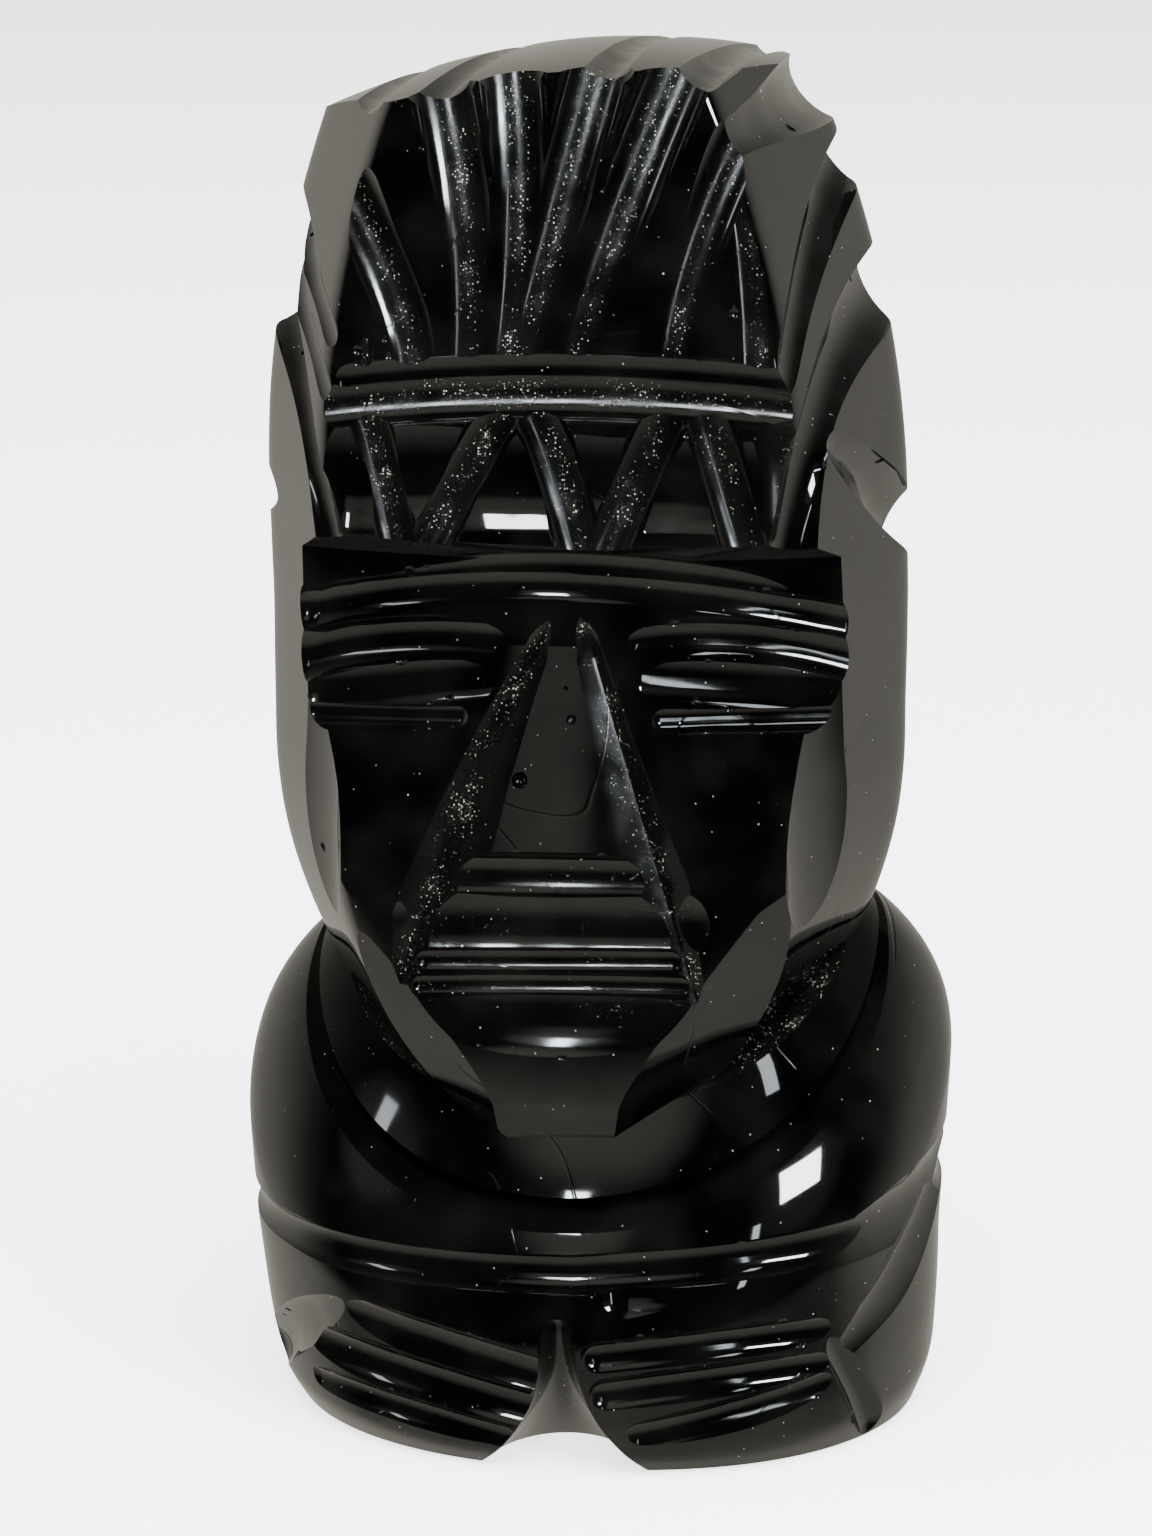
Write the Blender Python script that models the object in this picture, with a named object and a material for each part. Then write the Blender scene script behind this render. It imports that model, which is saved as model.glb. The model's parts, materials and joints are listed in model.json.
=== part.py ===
"""Polished black obsidian bust of a stylised head in a feather headdress, cut from one block.

The block is two blanks joined: a wedge-sided head and a rounded torso. Everything else is taken away
with grinding wheels. A flute is the path of one wheel, given by the wheel's radius and three stations,
each a place on the blank and the depth cut there. A ring cut runs right round the torso.

Right is +X, the face looks along -Y, and heights are above the flat underside.
"""

import math

import bmesh
import bpy
from mathutils import Matrix, Vector

MM = 0.001

# Driving sizes
HEIGHT = 148.4 * MM
HEAD_WIDTH = 70.5 * MM
HEAD_FRONT = 27.5 * MM
HEAD_BACK = 26 * MM
TORSO_WIDTH = 78 * MM
TORSO_DEPTH = 66 * MM

# The stone was cut by eye, so its middle stands this far from the origin the cuts are measured from
TO_MIDDLE = Vector((0.5, 0.0, 0.0)) * MM

# Polished near-black stone
STONE_COLOUR = (0.012, 0.012, 0.014, 1.0)
STONE_ROUGHNESS = 0.12

# Head blank
SIDE_FACET = math.radians(68)
JAW_TOP, JAW_DROP = 74 * MM, 44.5 * MM
CHIN_TOP, CHIN_DROP = 48 * MM, 34 * MM
TEMPLE, TEMPLE_BEND = 100 * MM, 106.4 * MM
PANEL_FROM, PANEL_SLOPE = 98 * MM, 0.07
HEAD_SHIFT = 1.8 * MM
LEAN_FROM, HEAD_LEAN = 90 * MM, 0.025
CROWN_ACROSS, CROWN_ALONG = 75 * MM, 220 * MM
CROWN_MIDDLE = 3 * MM

# Torso blank: share of the full width at each height up to the dome, then the shoulder dome
TORSO_STATIONS = ((0, 0.895), (0.12, 0.945), (0.33, 0.965), (0.6, 0.98), (1.0, 1.0))
DOME_FROM, DOME_RISE = 37 * MM, 23 * MM
TORSO_ROUNDNESS = 2.2
TORSO_LEAN = 1.0 * MM
TORSO_TILT = 0.045

# The shoulders and the collar both fall away towards the chest
FALL_SOFTNESS = 10 * MM
DOME_FALL, COLLAR_FALL = 0.77, 0.915
COLLAR_HEIGHT = 50.3 * MM

# The neck that the collar slot leaves, and how far a cutter runs on past the stone
NECK_HALF_WIDTH, NECK_HALF_DEPTH, NECK_BACK = 29 * MM, 22.5 * MM, 2.5 * MM
SLOT_DEPTH = 5.5 * MM
RUN_OUT = 15 * MM

# Face profile: forward distance and height of the step under the band, the brow and the nose ridge
BAND_FOOT = (40, 105.8)
BROW_TOP = (22.5, 97.2)
BROW_FOOT = (22.0, 88.0)
NOSE_END = (40, 19.3)
BROW_BEND = 80 * MM

# Flats ground on the jaw: a place on each in mm, then the way it faces, both as (x, forward, height)
JAW_FLATS = (
    ((-2.0, 27.3, 41.4), (0.0, 0.86, -0.51)),
    ((-13.2, 27.0, 45.8), (-0.447, 0.745, -0.496)),
    ((9.1, 27.0, 47.4), (0.498, 0.662, -0.555)),
)

# Flutes on the front of the head: wheel radius, then (x, height, depth) at three stations
FEATHERS = (
    (3.2, (-28.5, 143.0, 2.4), (-19.6, 127.0, 1.2), (-17.0, 117.0, 0.8)),
    (3.0, (-15.0, 150.0, 2.6), (-11.7, 133.0, 1.0), (-11.4, 117.3, 0.6)),
    (2.6, (-6.8, 150.5, 2.4), (-6.0, 134.0, 0.8), (-7.4, 117.2, 0.5)),
    (2.8, (2.4, 150.5, 2.4), (-1.9, 133.0, 1.0), (-5.9, 117.8, 0.6)),
    (3.0, (9.6, 150.5, 2.6), (4.3, 134.0, 1.1), (-0.6, 118.2, 0.6)),
    (2.7, (19.5, 148.0, 2.4), (12.6, 132.5, 1.1), (9.3, 117.5, 0.5)),
    (5.0, (16.0, 137.0, 0.0), (17.0, 127.0, 0.6), (17.5, 117.0, 0.3)),
    (1.3, (-21.9, 120.5, 0.0), (-21.9, 118.0, 0.5), (-21.9, 115.5, 0.6)),
)
BAND = (3.1, (-26.0, 113.0, 1.2), (-2.0, 114.4, 1.9), (23.0, 113.3, 0.8))
ZIGZAG = (
    (2.9, (-21.7, 112.5, 0.9), (-20.0, 106.0, 0.9), (-18.0, 98.0, 0.9)),
    (2.9, (-8.3, 112.5, 1.0), (-12.1, 106.0, 1.1), (-16.2, 98.0, 1.0)),
    (3.1, (-4.3, 112.5, 1.1), (-1.8, 106.0, 1.2), (0.6, 98.0, 1.1)),
    (3.1, (8.5, 112.5, 1.1), (5.6, 106.0, 1.2), (2.2, 98.0, 1.1)),
    (3.1, (12.9, 112.5, 1.1), (15.0, 106.0, 1.2), (17.6, 98.0, 1.1)),
    (9.0, (21.6, 113.0, 0.2), (22.2, 106.0, 1.0), (22.6, 98.0, 0.6)),
)
BROW = (
    (2.6, (-22.5, 93.6, 0.0), (-2.5, 96.3, 0.5), (21.0, 93.6, 0.0)),
    (2.6, (-30.0, 90.4, 1.9), (-3.0, 94.3, 0.7), (27.5, 90.0, 0.8)),
    (3.0, (-31.0, 85.4, 2.2), (-20.5, 88.0, 1.4), (-9.0, 88.6, 0.0)),
    (3.0, (28.5, 86.0, 1.4), (16.5, 88.6, 1.3), (5.0, 88.4, 0.0)),
)
EYES = (
    (5.0, (-29.0, 82.6, 1.0), (-20.0, 83.9, 1.3), (-11.0, 85.4, 0.0)),
    (5.0, (26.5, 83.8, 1.0), (17.0, 84.6, 1.3), (7.5, 85.6, 0.0)),
    (1.8, (-29.0, 80.0, 1.7), (-21.0, 80.4, 1.6), (-13.5, 80.9, 0.6)),
    (1.8, (26.0, 80.8, 1.7), (17.0, 80.9, 1.6), (8.5, 81.0, 0.4)),
)
NOSE = (
    (6.6, (-5.6, 87.5, 0.0), (-13.4, 70.0, 2.6), (-20.2, 49.0, 0.7)),
    (6.6, (1.0, 87.8, 0.0), (7.2, 69.0, 2.6), (13.8, 47.5, 0.7)),
)
MOUTH = (
    (3.0, (-12.5, 64.6, 1.6), (-3.2, 64.6, 2.1), (6.5, 64.8, 1.6)),
    (7.0, (-15.5, 59.5, 1.4), (-3.2, 59.6, 1.6), (9.5, 59.8, 1.4)),
    (1.7, (-16.0, 55.2, 1.6), (-3.2, 55.4, 2.1), (9.5, 55.8, 1.8)),
    (1.6, (-16.5, 52.4, 1.0), (-3.2, 52.6, 1.4), (10.5, 53.0, 1.0)),
    (8.0, (-15.5, 50.4, 0.0), (-3.0, 48.2, 1.3), (11.5, 50.6, 0.0)),
)

# Flutes on the sides of the headdress: wheel radius, then (forward, height, depth)
SIDE_FEATHERS_LEFT = (
    (2.6, (-2.0, 131.0, 0.8), (12.0, 127.0, 1.1), (27.0, 120.0, 0.8)),
    (2.6, (-2.0, 126.5, 0.6), (12.0, 122.5, 1.1), (27.0, 114.5, 0.8)),
    (3.4, (-3.0, 121.0, 0.6), (17.5, 113.0, 1.6), (27.5, 98.0, 2.4)),
    (3.0, (-8.0, 99.0, 0.6), (4.0, 100.5, 0.8), (15.0, 97.0, 0.0)),
)
SIDE_FEATHERS_RIGHT = (
    (4.5, (-4.0, 145.0, 1.2), (10.0, 144.0, 1.6), (25.0, 141.5, 0.4)),
    (3.2, (-2.0, 136.5, 1.2), (15.5, 128.5, 1.5), (28.0, 115.0, 0.9)),
    (4.4, (-2.0, 123.0, 0.6), (20.0, 114.0, 2.0), (27.0, 97.5, 3.6)),
    (3.4, (23.0, 112.5, 0.3), (11.0, 104.0, 1.8), (-6.0, 93.5, 2.6)),
)
TEMPLE_LEFT = (7.0, (24.0, 83.0, 2.0), (21.0, 74.0, 1.7), (16.0, 60.0, 0.4))
TEMPLE_RIGHT = (7.0, (23.0, 83.5, 3.0), (21.0, 74.0, 2.2), (16.0, 60.0, 0.5))
SIDE_FEATHERS_BACK = (
    (3.4, (-1.0, 132.0, 1.2), (-12.0, 127.0, 1.3), (-24.0, 118.0, 0.8)),
    (3.4, (-1.0, 120.0, 1.0), (-13.0, 113.0, 1.4), (-24.0, 100.0, 0.8)),
)

# Plain feathers down the back, and the band that ends them
BACK_FEATHERS = (
    (4.0, (-16.0, 149.0, 1.4), (-13.0, 128.0, 1.2), (-11.0, 104.0, 0.4)),
    (4.0, (-2.0, 151.0, 1.4), (-2.0, 128.0, 1.2), (-2.0, 104.0, 0.4)),
    (4.0, (12.0, 149.0, 1.4), (9.0, 128.0, 1.2), (7.0, 104.0, 0.4)),
)
BACK_BAND = (4.0, (-26.0, 99.0, 1.4), (-2.0, 99.0, 1.4), (22.0, 99.0, 1.4))

# Flutes on the torso: wheel radius, then (degrees round from the front, height, depth)
HANDS = (
    (1.9, (-41, 16.6, 0.2), (-25, 14.9, 1.0), (-7, 12.4, 0.8)),
    (3.2, (-52, 10.6, 0.6), (-29, 9.4, 1.7), (-6, 7.0, 1.2)),
    (2.2, (-54, 5.6, 0.4), (-35, 5.4, 1.2), (-14, 3.8, 0.6)),
    (2.4, (5, 14.0, 1.0), (26, 15.2, 1.2), (46, 15.2, 0.3)),
    (2.4, (6, 9.6, 1.0), (27, 11.0, 1.2), (46, 11.2, 0.3)),
    (2.4, (12, 4.8, 0.5), (30, 6.8, 1.3), (47, 9.0, 0.2)),
    (3.0, (-37, 18.8, 0.4), (-52, 13.5, 1.6), (-74, 5.0, 1.4)),
    (2.2, (45, 17.0, 0.3), (51, 10.0, 1.2), (60, 1.0, 1.2)),
    (7.0, (50, 11.5, 0.2), (64, 18.5, 1.0), (84, 28.0, 0.5)),
)
SHOULDER_BEVELS = (
    (10.0, (-95, 23.0, 0.4), (-66, 26.2, 1.1), (-34, 26.8, 0.0)),
    (10.0, (14, 24.6, 0.0), (50, 27.4, 1.0), (90, 33.0, 0.4)),
)

# Notch between the hands, a horn that opens towards the base: the (x, height) of its tip and its foot
# and its forward distance, then its half width and its depth at the tip and at the foot
NOTCH_TIP, NOTCH_FOOT, NOTCH_FORWARD = (-1.9, 16.2), (-1.4, -1.0), 34.0
NOTCH_HALF_WIDTH, NOTCH_DEPTH = (2.0, 10.9), (4.6, 15.0)


def clear_scene():
    for item in list(bpy.data.objects):
        bpy.data.objects.remove(item)


def finish_mesh(name, work):
    """A scene object from edited geometry."""
    mesh = bpy.data.meshes.new(name)
    bmesh.ops.recalc_face_normals(work, faces=work.faces)
    work.to_mesh(mesh)
    work.free()
    item = bpy.data.objects.new(name, mesh)
    bpy.context.scene.collection.objects.link(item)
    return item


def loft(name, rings, looped=False):
    """A closed solid through rings of points, capped at both ends or joined end to end."""
    work = bmesh.new()
    rows = [[work.verts.new(point) for point in ring] for ring in rings]
    pairs = list(zip(rows, rows[1:])) + ([(rows[-1], rows[0])] if looped else [])
    for lower, upper in pairs:
        for i in range(len(lower)):
            work.faces.new((lower[i - 1], lower[i], upper[i], upper[i - 1]))
    if not looped:
        work.faces.new(rows[0])
        work.faces.new(rows[-1])
    return finish_mesh(name, work)


def head_half_width(z):
    half = HEAD_WIDTH / 2
    if z < JAW_TOP:
        return half * math.sqrt(max(0.02, 1 - ((JAW_TOP - z) / JAW_DROP) ** 2))
    return half - max(0, z - TEMPLE) ** 2 / (2 * TEMPLE_BEND)


def head_front(z):
    if z < CHIN_TOP:
        return HEAD_FRONT * math.sqrt(max(0.02, 1 - ((CHIN_TOP - z) / CHIN_DROP) ** 2))
    return HEAD_FRONT - PANEL_SLOPE * max(0, z - PANEL_FROM)


def head_middle(z):
    """The head leans to the left towards its crown."""
    return -HEAD_SHIFT - HEAD_LEAN * max(0, z - LEAN_FROM)


def facet_corner(facet, other):
    """Direction of the corner where two facets meet, each given as (angle, distance)."""
    (angle, far), (after, beyond) = facet, other
    across = far * math.cos(after) - beyond * math.cos(angle)
    forward = math.sin(angle) * beyond - math.sin(after) * far
    turn = math.sin(angle - after)
    return math.atan2(across / turn, forward / turn)


def head_facets(z):
    """The six facets of the head at one height, as (angle from the front, distance)."""
    reach = head_half_width(z) * math.sin(SIDE_FACET)
    right = [(SIDE_FACET, reach), (math.pi - SIDE_FACET, reach)]
    left = [(-angle, far) for angle, far in reversed(right)]
    return [(0, head_front(z))] + right + [(math.pi, HEAD_BACK)] + left


def head_ring(z):
    """One level of the head, its corners rounded over more softly round the jaw.

    The radius is the p-norm of the direction's distance to every facet.
    """
    facets = head_facets(z)
    sharpness = 16 + 18 * min(1, max(0, (z / MM - 50) / 16))
    corners = [facet_corner(facets[i - 1], facets[i]) for i in range(len(facets))]
    spread = [math.radians(offset * 16 / sharpness) for offset in (-13, -6, -2, 2, 6, 13)]
    turns = sorted((corner + offset) % (2 * math.pi) for corner in corners for offset in spread)
    ring = []
    for turn in turns:
        total = sum(max(0, math.cos(turn - angle) / far) ** sharpness for angle, far in facets)
        radius = total ** (-1 / sharpness)
        ring.append(Vector((head_middle(z) + radius * math.sin(turn), -radius * math.cos(turn), z)))
    return ring


def head_blank():
    """The head up to a little above the crown, with the flats on its jaw ground off."""
    levels = [30, 34, 38, 41, 44, 47, 50, 54, 58, 62, 68, 75, 88, 100, 108, 117, 126, 134, 141]
    top = HEIGHT + 3.6 * MM
    head = loft("head", [head_ring(z * MM) for z in levels if z * MM < HEIGHT] + [head_ring(top)])
    work = bmesh.new()
    work.from_mesh(head.data)
    for (x, forward, z), (across, ahead, up) in JAW_FLATS:
        bmesh.ops.bisect_plane(work, geom=[*work.verts, *work.edges, *work.faces], clear_outer=True,
                               plane_co=Vector((x, -forward, z)) * MM, plane_no=Vector((across, -ahead, up)))
        bmesh.ops.holes_fill(work, edges=[edge for edge in work.edges if edge.is_boundary])
    work.to_mesh(head.data)
    work.free()
    return head


def fall(forward):
    """How far the shoulders drop at a forward distance: none behind, one for one in front."""
    ramp = (forward + math.hypot(forward, FALL_SOFTNESS)) / 2
    return ramp - FALL_SOFTNESS / 2


def plan_point(turn, half_width, half_depth, roundness):
    """Point of a rounded plan outline at an angle from the front, as (x, forward)."""
    across, forward = math.sin(turn), math.cos(turn)
    total = (abs(across) / half_width) ** roundness + (abs(forward) / half_depth) ** roundness
    radius = total ** (-1 / roundness)
    return radius * across, radius * forward


def torso_scale(share):
    for (low, first), (high, second) in zip(TORSO_STATIONS, TORSO_STATIONS[1:]):
        if share <= high:
            return first + (second - first) * (share - low) / (high - low)
    return 1.0


def torso_point(turn, share):
    """Point on the torso: share runs 0 to 1 up the wall, then 1 to 2 over the shoulder dome."""
    if share <= 1:
        scale, lift = torso_scale(share), 0
    else:
        scale, lift = math.sqrt(1 - (share - 1) ** 2), (share - 1) * DOME_RISE
    x, forward = plan_point(turn, scale * TORSO_WIDTH / 2, scale * TORSO_DEPTH / 2, TORSO_ROUNDNESS)
    z = (DOME_FROM - DOME_FALL * fall(forward)) * min(share, 1) + lift
    z += TORSO_TILT * x * min(share, 1)
    x += TORSO_LEAN * (max(0, 1 - z / (20 * MM)) - 0.5)
    return Vector((x, -forward, z))


def torso_at(turn, z):
    """Point on the torso at an angle from the front and a height, found by halving."""
    low, high = 0.0, 1.9
    for _ in range(24):
        middle = (low + high) / 2
        if torso_point(turn, middle).z < z:
            low = middle
        else:
            high = middle
    return torso_point(turn, low)


def torso_blank():
    shares = [0, 0.12, 0.33, 0.6, 1, 1.14, 1.27, 1.38, 1.48, 1.58, 1.68]
    turns = [2 * math.pi * i / 64 for i in range(64)]
    return loft("torso", [[torso_point(turn, share) for turn in turns] for share in shares])


def collar_ring():
    """The slot under the jaw: its floor runs out to the collar line, its inner wall is the neck.

    Its roof rises slowly under the jaw and then steeply, so it opens right through the shoulder dome.
    """
    rings = []
    for i in range(48):
        turn = 2 * math.pi * i / 48
        neck = plan_point(turn, NECK_HALF_WIDTH, NECK_HALF_DEPTH, 1.6)
        outside = plan_point(turn, TORSO_WIDTH / 2 + RUN_OUT, TORSO_DEPTH / 2 + RUN_OUT, 2)
        ring = []
        for share, lift in ((0, 0), (1, 0), (1, SLOT_DEPTH + RUN_OUT), (0.35, 0.4 * SLOT_DEPTH), (0, 0.3 * MM)):
            x = neck[0] + (outside[0] - neck[0]) * share
            forward = neck[1] - NECK_BACK + (outside[1] - neck[1] + NECK_BACK) * share
            floor = COLLAR_HEIGHT - COLLAR_FALL * fall(forward) + TORSO_TILT * x
            ring.append(Vector((x + head_middle(0) * 0.5, -forward, floor + lift)))
        rings.append(ring)
    return loft("collar slot", rings, looped=True)


def waist_ring():
    """A shallow groove under the shoulders, rising to the right as the arm does."""
    wheel = 2.8 * MM
    rings = []
    for i in range(48):
        turn = 2 * math.pi * i / 48
        depth = (0.8 + 0.2 * math.cos(turn)) * MM
        height = (23.2 + 1.6 * math.sin(turn) + abs(math.sin(turn))) * MM
        centre = torso_at(turn, height)
        outward = Vector((centre.x, centre.y, 0)).normalized()
        centre += outward * (wheel - depth)
        ring = []
        for j in range(12):
            angle = 2 * math.pi * j / 12
            ring.append(centre + wheel * (math.cos(angle) * outward + math.sin(angle) * Vector((0, 0, 1))))
        rings.append(ring)
    return loft("waist groove", rings, looped=True)


def along(values, t):
    """Value of the curve through three stations at t, from 0 to 1."""
    first, middle, last = values
    return first * (1 - t) * (1 - 2 * t) + middle * 4 * t * (1 - t) + last * t * (2 * t - 1)


def flute(name, wheel, centres):
    """A tube along a curve through three centres, with rounded ends."""
    steps, sides = 5, 12
    path = [along(centres, i / steps) for i in range(steps + 1)]
    before, after = (path[0] - path[1]).normalized(), (path[-1] - path[-2]).normalized()
    stations = [(path[0] + before * wheel * 0.97, 0.26), (path[0] + before * wheel * 0.7, 0.71)]
    stations += [(point, 1) for point in path]
    stations += [(path[-1] + after * wheel * 0.7, 0.71), (path[-1] + after * wheel * 0.97, 0.26)]
    rings = []
    for i, (point, share) in enumerate(stations):
        tangent = (stations[min(i + 1, len(stations) - 1)][0] - stations[max(i - 1, 0)][0]).normalized()
        side = tangent.cross(Vector((0.31, 0.52, 0.79))).normalized()
        up = side.cross(tangent)
        ring = []
        for j in range(sides):
            angle = 2 * math.pi * j / sides
            ring.append(point + wheel * share * (math.cos(angle) * side + math.sin(angle) * up))
        rings.append(ring)
    return loft(name, rings)


def brow_bend(x):
    """How far the brow falls back at x from its middle, on a wide curve."""
    return (x - head_middle(0)) ** 2 / (2 * BROW_BEND)


def face_profile(x):
    """The face in side view at x, as (forward, height) in metres from the band down to the chin."""
    bend = brow_bend(x)
    return [(BAND_FOOT[0] * MM, BAND_FOOT[1] * MM), (BROW_TOP[0] * MM - bend, BROW_TOP[1] * MM),
            (BROW_FOOT[0] * MM - bend, BROW_FOOT[1] * MM), (NOSE_END[0] * MM, NOSE_END[1] * MM)]


def face_cut():
    """Everything in front of the step under the band, the bent brow and the nose ridge."""
    rings = [[Vector((x, -forward, z)) for forward, z in face_profile(x)]
             for x in [5 * MM * i for i in range(-9, 10)]]
    return loft("face cut", rings)


def face_forward(x, z):
    """Forward distance of the face at a place in front view."""
    profile = face_profile(x)
    for (near, high), (far, low) in zip(profile, profile[1:]):
        if low <= z <= high:
            return min(head_front(z), near + (far - near) * (high - z) / (high - low))
    return head_front(z)


def on_front(x, z):
    return Vector((x, -head_front(z), z)), Vector((0, -1, 0))


def on_face(x, z):
    return Vector((x, -face_forward(x, z), z)), Vector((0, -1, 0))


def on_back(x, z):
    return Vector((x, HEAD_BACK, z)), Vector((0, 1, 0))


def on_side(sign, forward, z):
    """Place on a side facet of the head, given by its forward distance and height."""
    across = head_half_width(z) - abs(forward) / math.tan(SIDE_FACET)
    facing = math.copysign(math.cos(SIDE_FACET), forward)
    return (Vector((head_middle(z) + sign * across, -forward, z)),
            Vector((sign * math.sin(SIDE_FACET), -facing, 0)))


def on_torso(degrees, z):
    point = torso_at(math.radians(degrees), z)
    return point, Vector((point.x, point.y * (TORSO_WIDTH / TORSO_DEPTH) ** 2, 0)).normalized()


def cut_flutes(name, flutes, place):
    """Cutters for a group of flutes, each station placed on the blank by the given function."""
    made = []
    for number, (wheel, *stations) in enumerate(flutes, 1):
        centres = []
        for across, height, depth in stations:
            point, outward = place(across, height * MM)
            centres.append(point + outward * (wheel - depth) * MM)
        made.append(flute(f"{name} {number}", wheel * MM, centres))
    return made


def all_cutters():
    made = []
    for name, flutes in (("feather", FEATHERS), ("band", (BAND,)), ("zigzag", ZIGZAG), ("mouth", MOUTH)):
        made += cut_flutes(name, flutes, lambda x, z: on_front(x * MM, z))
    for name, flutes in (("brow", BROW), ("eye", EYES), ("nose", NOSE)):
        made += cut_flutes(name, flutes, lambda x, z: on_face(x * MM, z))
    made += cut_flutes("back feather", BACK_FEATHERS + (BACK_BAND,), lambda x, z: on_back(x * MM, z))
    for sign, flutes in ((-1, SIDE_FEATHERS_LEFT), (1, SIDE_FEATHERS_RIGHT),
                         (-1, SIDE_FEATHERS_BACK), (1, SIDE_FEATHERS_BACK)):
        made += cut_flutes("side feather", flutes, lambda y, z: on_side(sign, y * MM, z))
    for sign, row in ((-1, TEMPLE_LEFT), (1, TEMPLE_RIGHT)):
        made += cut_flutes("temple", (row,), lambda y, z: on_side(sign, y * MM, z))
    made += cut_flutes("hand", HANDS, on_torso)
    made += cut_flutes("shoulder bevel", SHOULDER_BEVELS, on_torso)
    made += [face_cut(), collar_ring(), waist_ring(), notch(), crown()]
    return made


def notch():
    """The arch between the hands: a half-round at each height, wider and deeper towards the base."""
    rings = []
    for share, scale in ((0, 0.1), (0, 0.7), (0, 1), (0.3, 1), (0.5, 1), (0.7, 1), (0.86, 1), (1, 1)):
        half_width = NOTCH_HALF_WIDTH[0] + (NOTCH_HALF_WIDTH[1] - NOTCH_HALF_WIDTH[0]) * share ** 2.6
        depth = NOTCH_DEPTH[0] + (NOTCH_DEPTH[1] - NOTCH_DEPTH[0]) * share ** 1.6
        x, z = (tip + (foot - tip) * share for tip, foot in zip(NOTCH_TIP, NOTCH_FOOT))
        z += NOTCH_HALF_WIDTH[0] * math.sqrt(1 - scale ** 2)
        turns = [2 * math.pi * i / 12 for i in range(12)]
        rings.append([Vector((x + scale * half_width * math.sin(turn),
                              -NOTCH_FORWARD + scale * depth * math.cos(turn), z)) * MM for turn in turns])
    return loft("notch", rings)


def crown():
    """Everything above the domed crown, which bends more across than from front to back."""
    rings = []
    reach = HEAD_WIDTH / 2 + RUN_OUT
    for share in (0.01, 0.2, 0.4, 0.6, 0.8, 1):
        ring = []
        for j in range(28):
            turn = 2 * math.pi * j / 28
            x, y = reach * share * math.sin(turn), reach * share * math.cos(turn)
            drop = x * x / (2 * CROWN_ACROSS) + y * y / (2 * CROWN_ALONG)
            ring.append(Vector((CROWN_MIDDLE + x, y, HEIGHT - drop)))
        rings.append(ring)
    rings.append([Vector((point.x, point.y, HEIGHT + RUN_OUT)) for point in rings[-1]])
    return loft("crown", rings)


def join(target, operand, operation):
    item = target.modifiers.new(operation.lower(), "BOOLEAN")
    item.operation = operation
    item.solver = "EXACT"
    if isinstance(operand, bpy.types.Collection):
        item.operand_type = "COLLECTION"
        item.collection = operand
    else:
        item.object = operand


def stone():
    material = bpy.data.materials.new("black obsidian")
    material.use_nodes = True
    surface = material.node_tree.nodes["Principled BSDF"]
    surface.inputs["Base Color"].default_value = STONE_COLOUR
    surface.inputs["Roughness"].default_value = STONE_ROUGHNESS
    surface.inputs["Metallic"].default_value = 0.0
    return material


def main():
    clear_scene()
    bust = torso_blank()
    head = head_blank()
    black = stone()
    tools = bpy.data.collections.new("wheels")
    bpy.context.scene.collection.children.link(tools)
    for cutter in all_cutters():
        bpy.context.scene.collection.objects.unlink(cutter)
        tools.objects.link(cutter)
    for item in [bust, head, *tools.objects]:
        item.data.transform(Matrix.Translation(TO_MIDDLE))
        item.data.materials.append(black)
    for item in [head, *tools.objects]:
        item.hide_render = True
        item.display_type = "WIRE"
    join(bust, head, "UNION")
    join(bust, tools, "DIFFERENCE")
    bust.name = "bust"


main()
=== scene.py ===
"""Looks of the polished obsidian bust.

The stone is cut again with the wheels of the CAD solid, on grids fine enough to reflect like glass.
Two blanks are joined and every cut is taken out of them in one Boolean. Each grid carries its own
normals, the frost left in the cut and the place across its valley, and they all come through the cutting.

Right is +X, the face looks along -Y, and heights are above the flat underside. The tables are in
millimetres and everything built from them is in metres.
"""

import json
import logging
import math
from dataclasses import dataclass
from enum import Enum
from functools import partial
from typing import Callable, Sequence

import bmesh
import bpy
import numpy as np
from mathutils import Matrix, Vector

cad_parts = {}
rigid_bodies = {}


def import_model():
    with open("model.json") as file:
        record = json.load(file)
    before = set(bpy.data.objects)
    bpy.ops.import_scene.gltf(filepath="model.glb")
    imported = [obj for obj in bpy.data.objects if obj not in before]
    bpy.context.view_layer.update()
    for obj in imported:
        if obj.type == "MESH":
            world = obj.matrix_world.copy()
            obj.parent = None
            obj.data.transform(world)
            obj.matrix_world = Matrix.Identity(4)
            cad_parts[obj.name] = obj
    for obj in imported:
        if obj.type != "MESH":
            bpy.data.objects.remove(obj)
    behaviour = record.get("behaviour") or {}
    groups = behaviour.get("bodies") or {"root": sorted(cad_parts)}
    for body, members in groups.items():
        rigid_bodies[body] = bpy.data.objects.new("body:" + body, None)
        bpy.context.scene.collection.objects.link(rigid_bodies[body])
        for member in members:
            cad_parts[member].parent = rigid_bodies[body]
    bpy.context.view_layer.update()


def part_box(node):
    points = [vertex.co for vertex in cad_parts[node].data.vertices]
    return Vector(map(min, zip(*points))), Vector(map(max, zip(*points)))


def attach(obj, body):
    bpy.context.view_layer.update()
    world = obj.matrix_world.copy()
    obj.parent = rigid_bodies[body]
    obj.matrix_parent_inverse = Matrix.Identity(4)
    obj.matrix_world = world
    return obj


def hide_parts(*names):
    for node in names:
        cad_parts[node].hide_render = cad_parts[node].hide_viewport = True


LOG = logging.getLogger("bust")
MM = 0.001
PHOTO_HEIGHT = 1536

# The place across a valley that a surface without a valley is given, in mm
FAR_FROM_VALLEY = 99.0

# Distance round the stone for a turn of one radian, in mm, at about its middle radius
MM_A_RADIAN = 30

# Steps of a search by halving, enough for a few nanometres
HALVINGS = 24

COOL_WHITE = (0.86, 0.94, 1.0)
WARM_WHITE = (1.0, 0.962, 0.845, 1.0)

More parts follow.
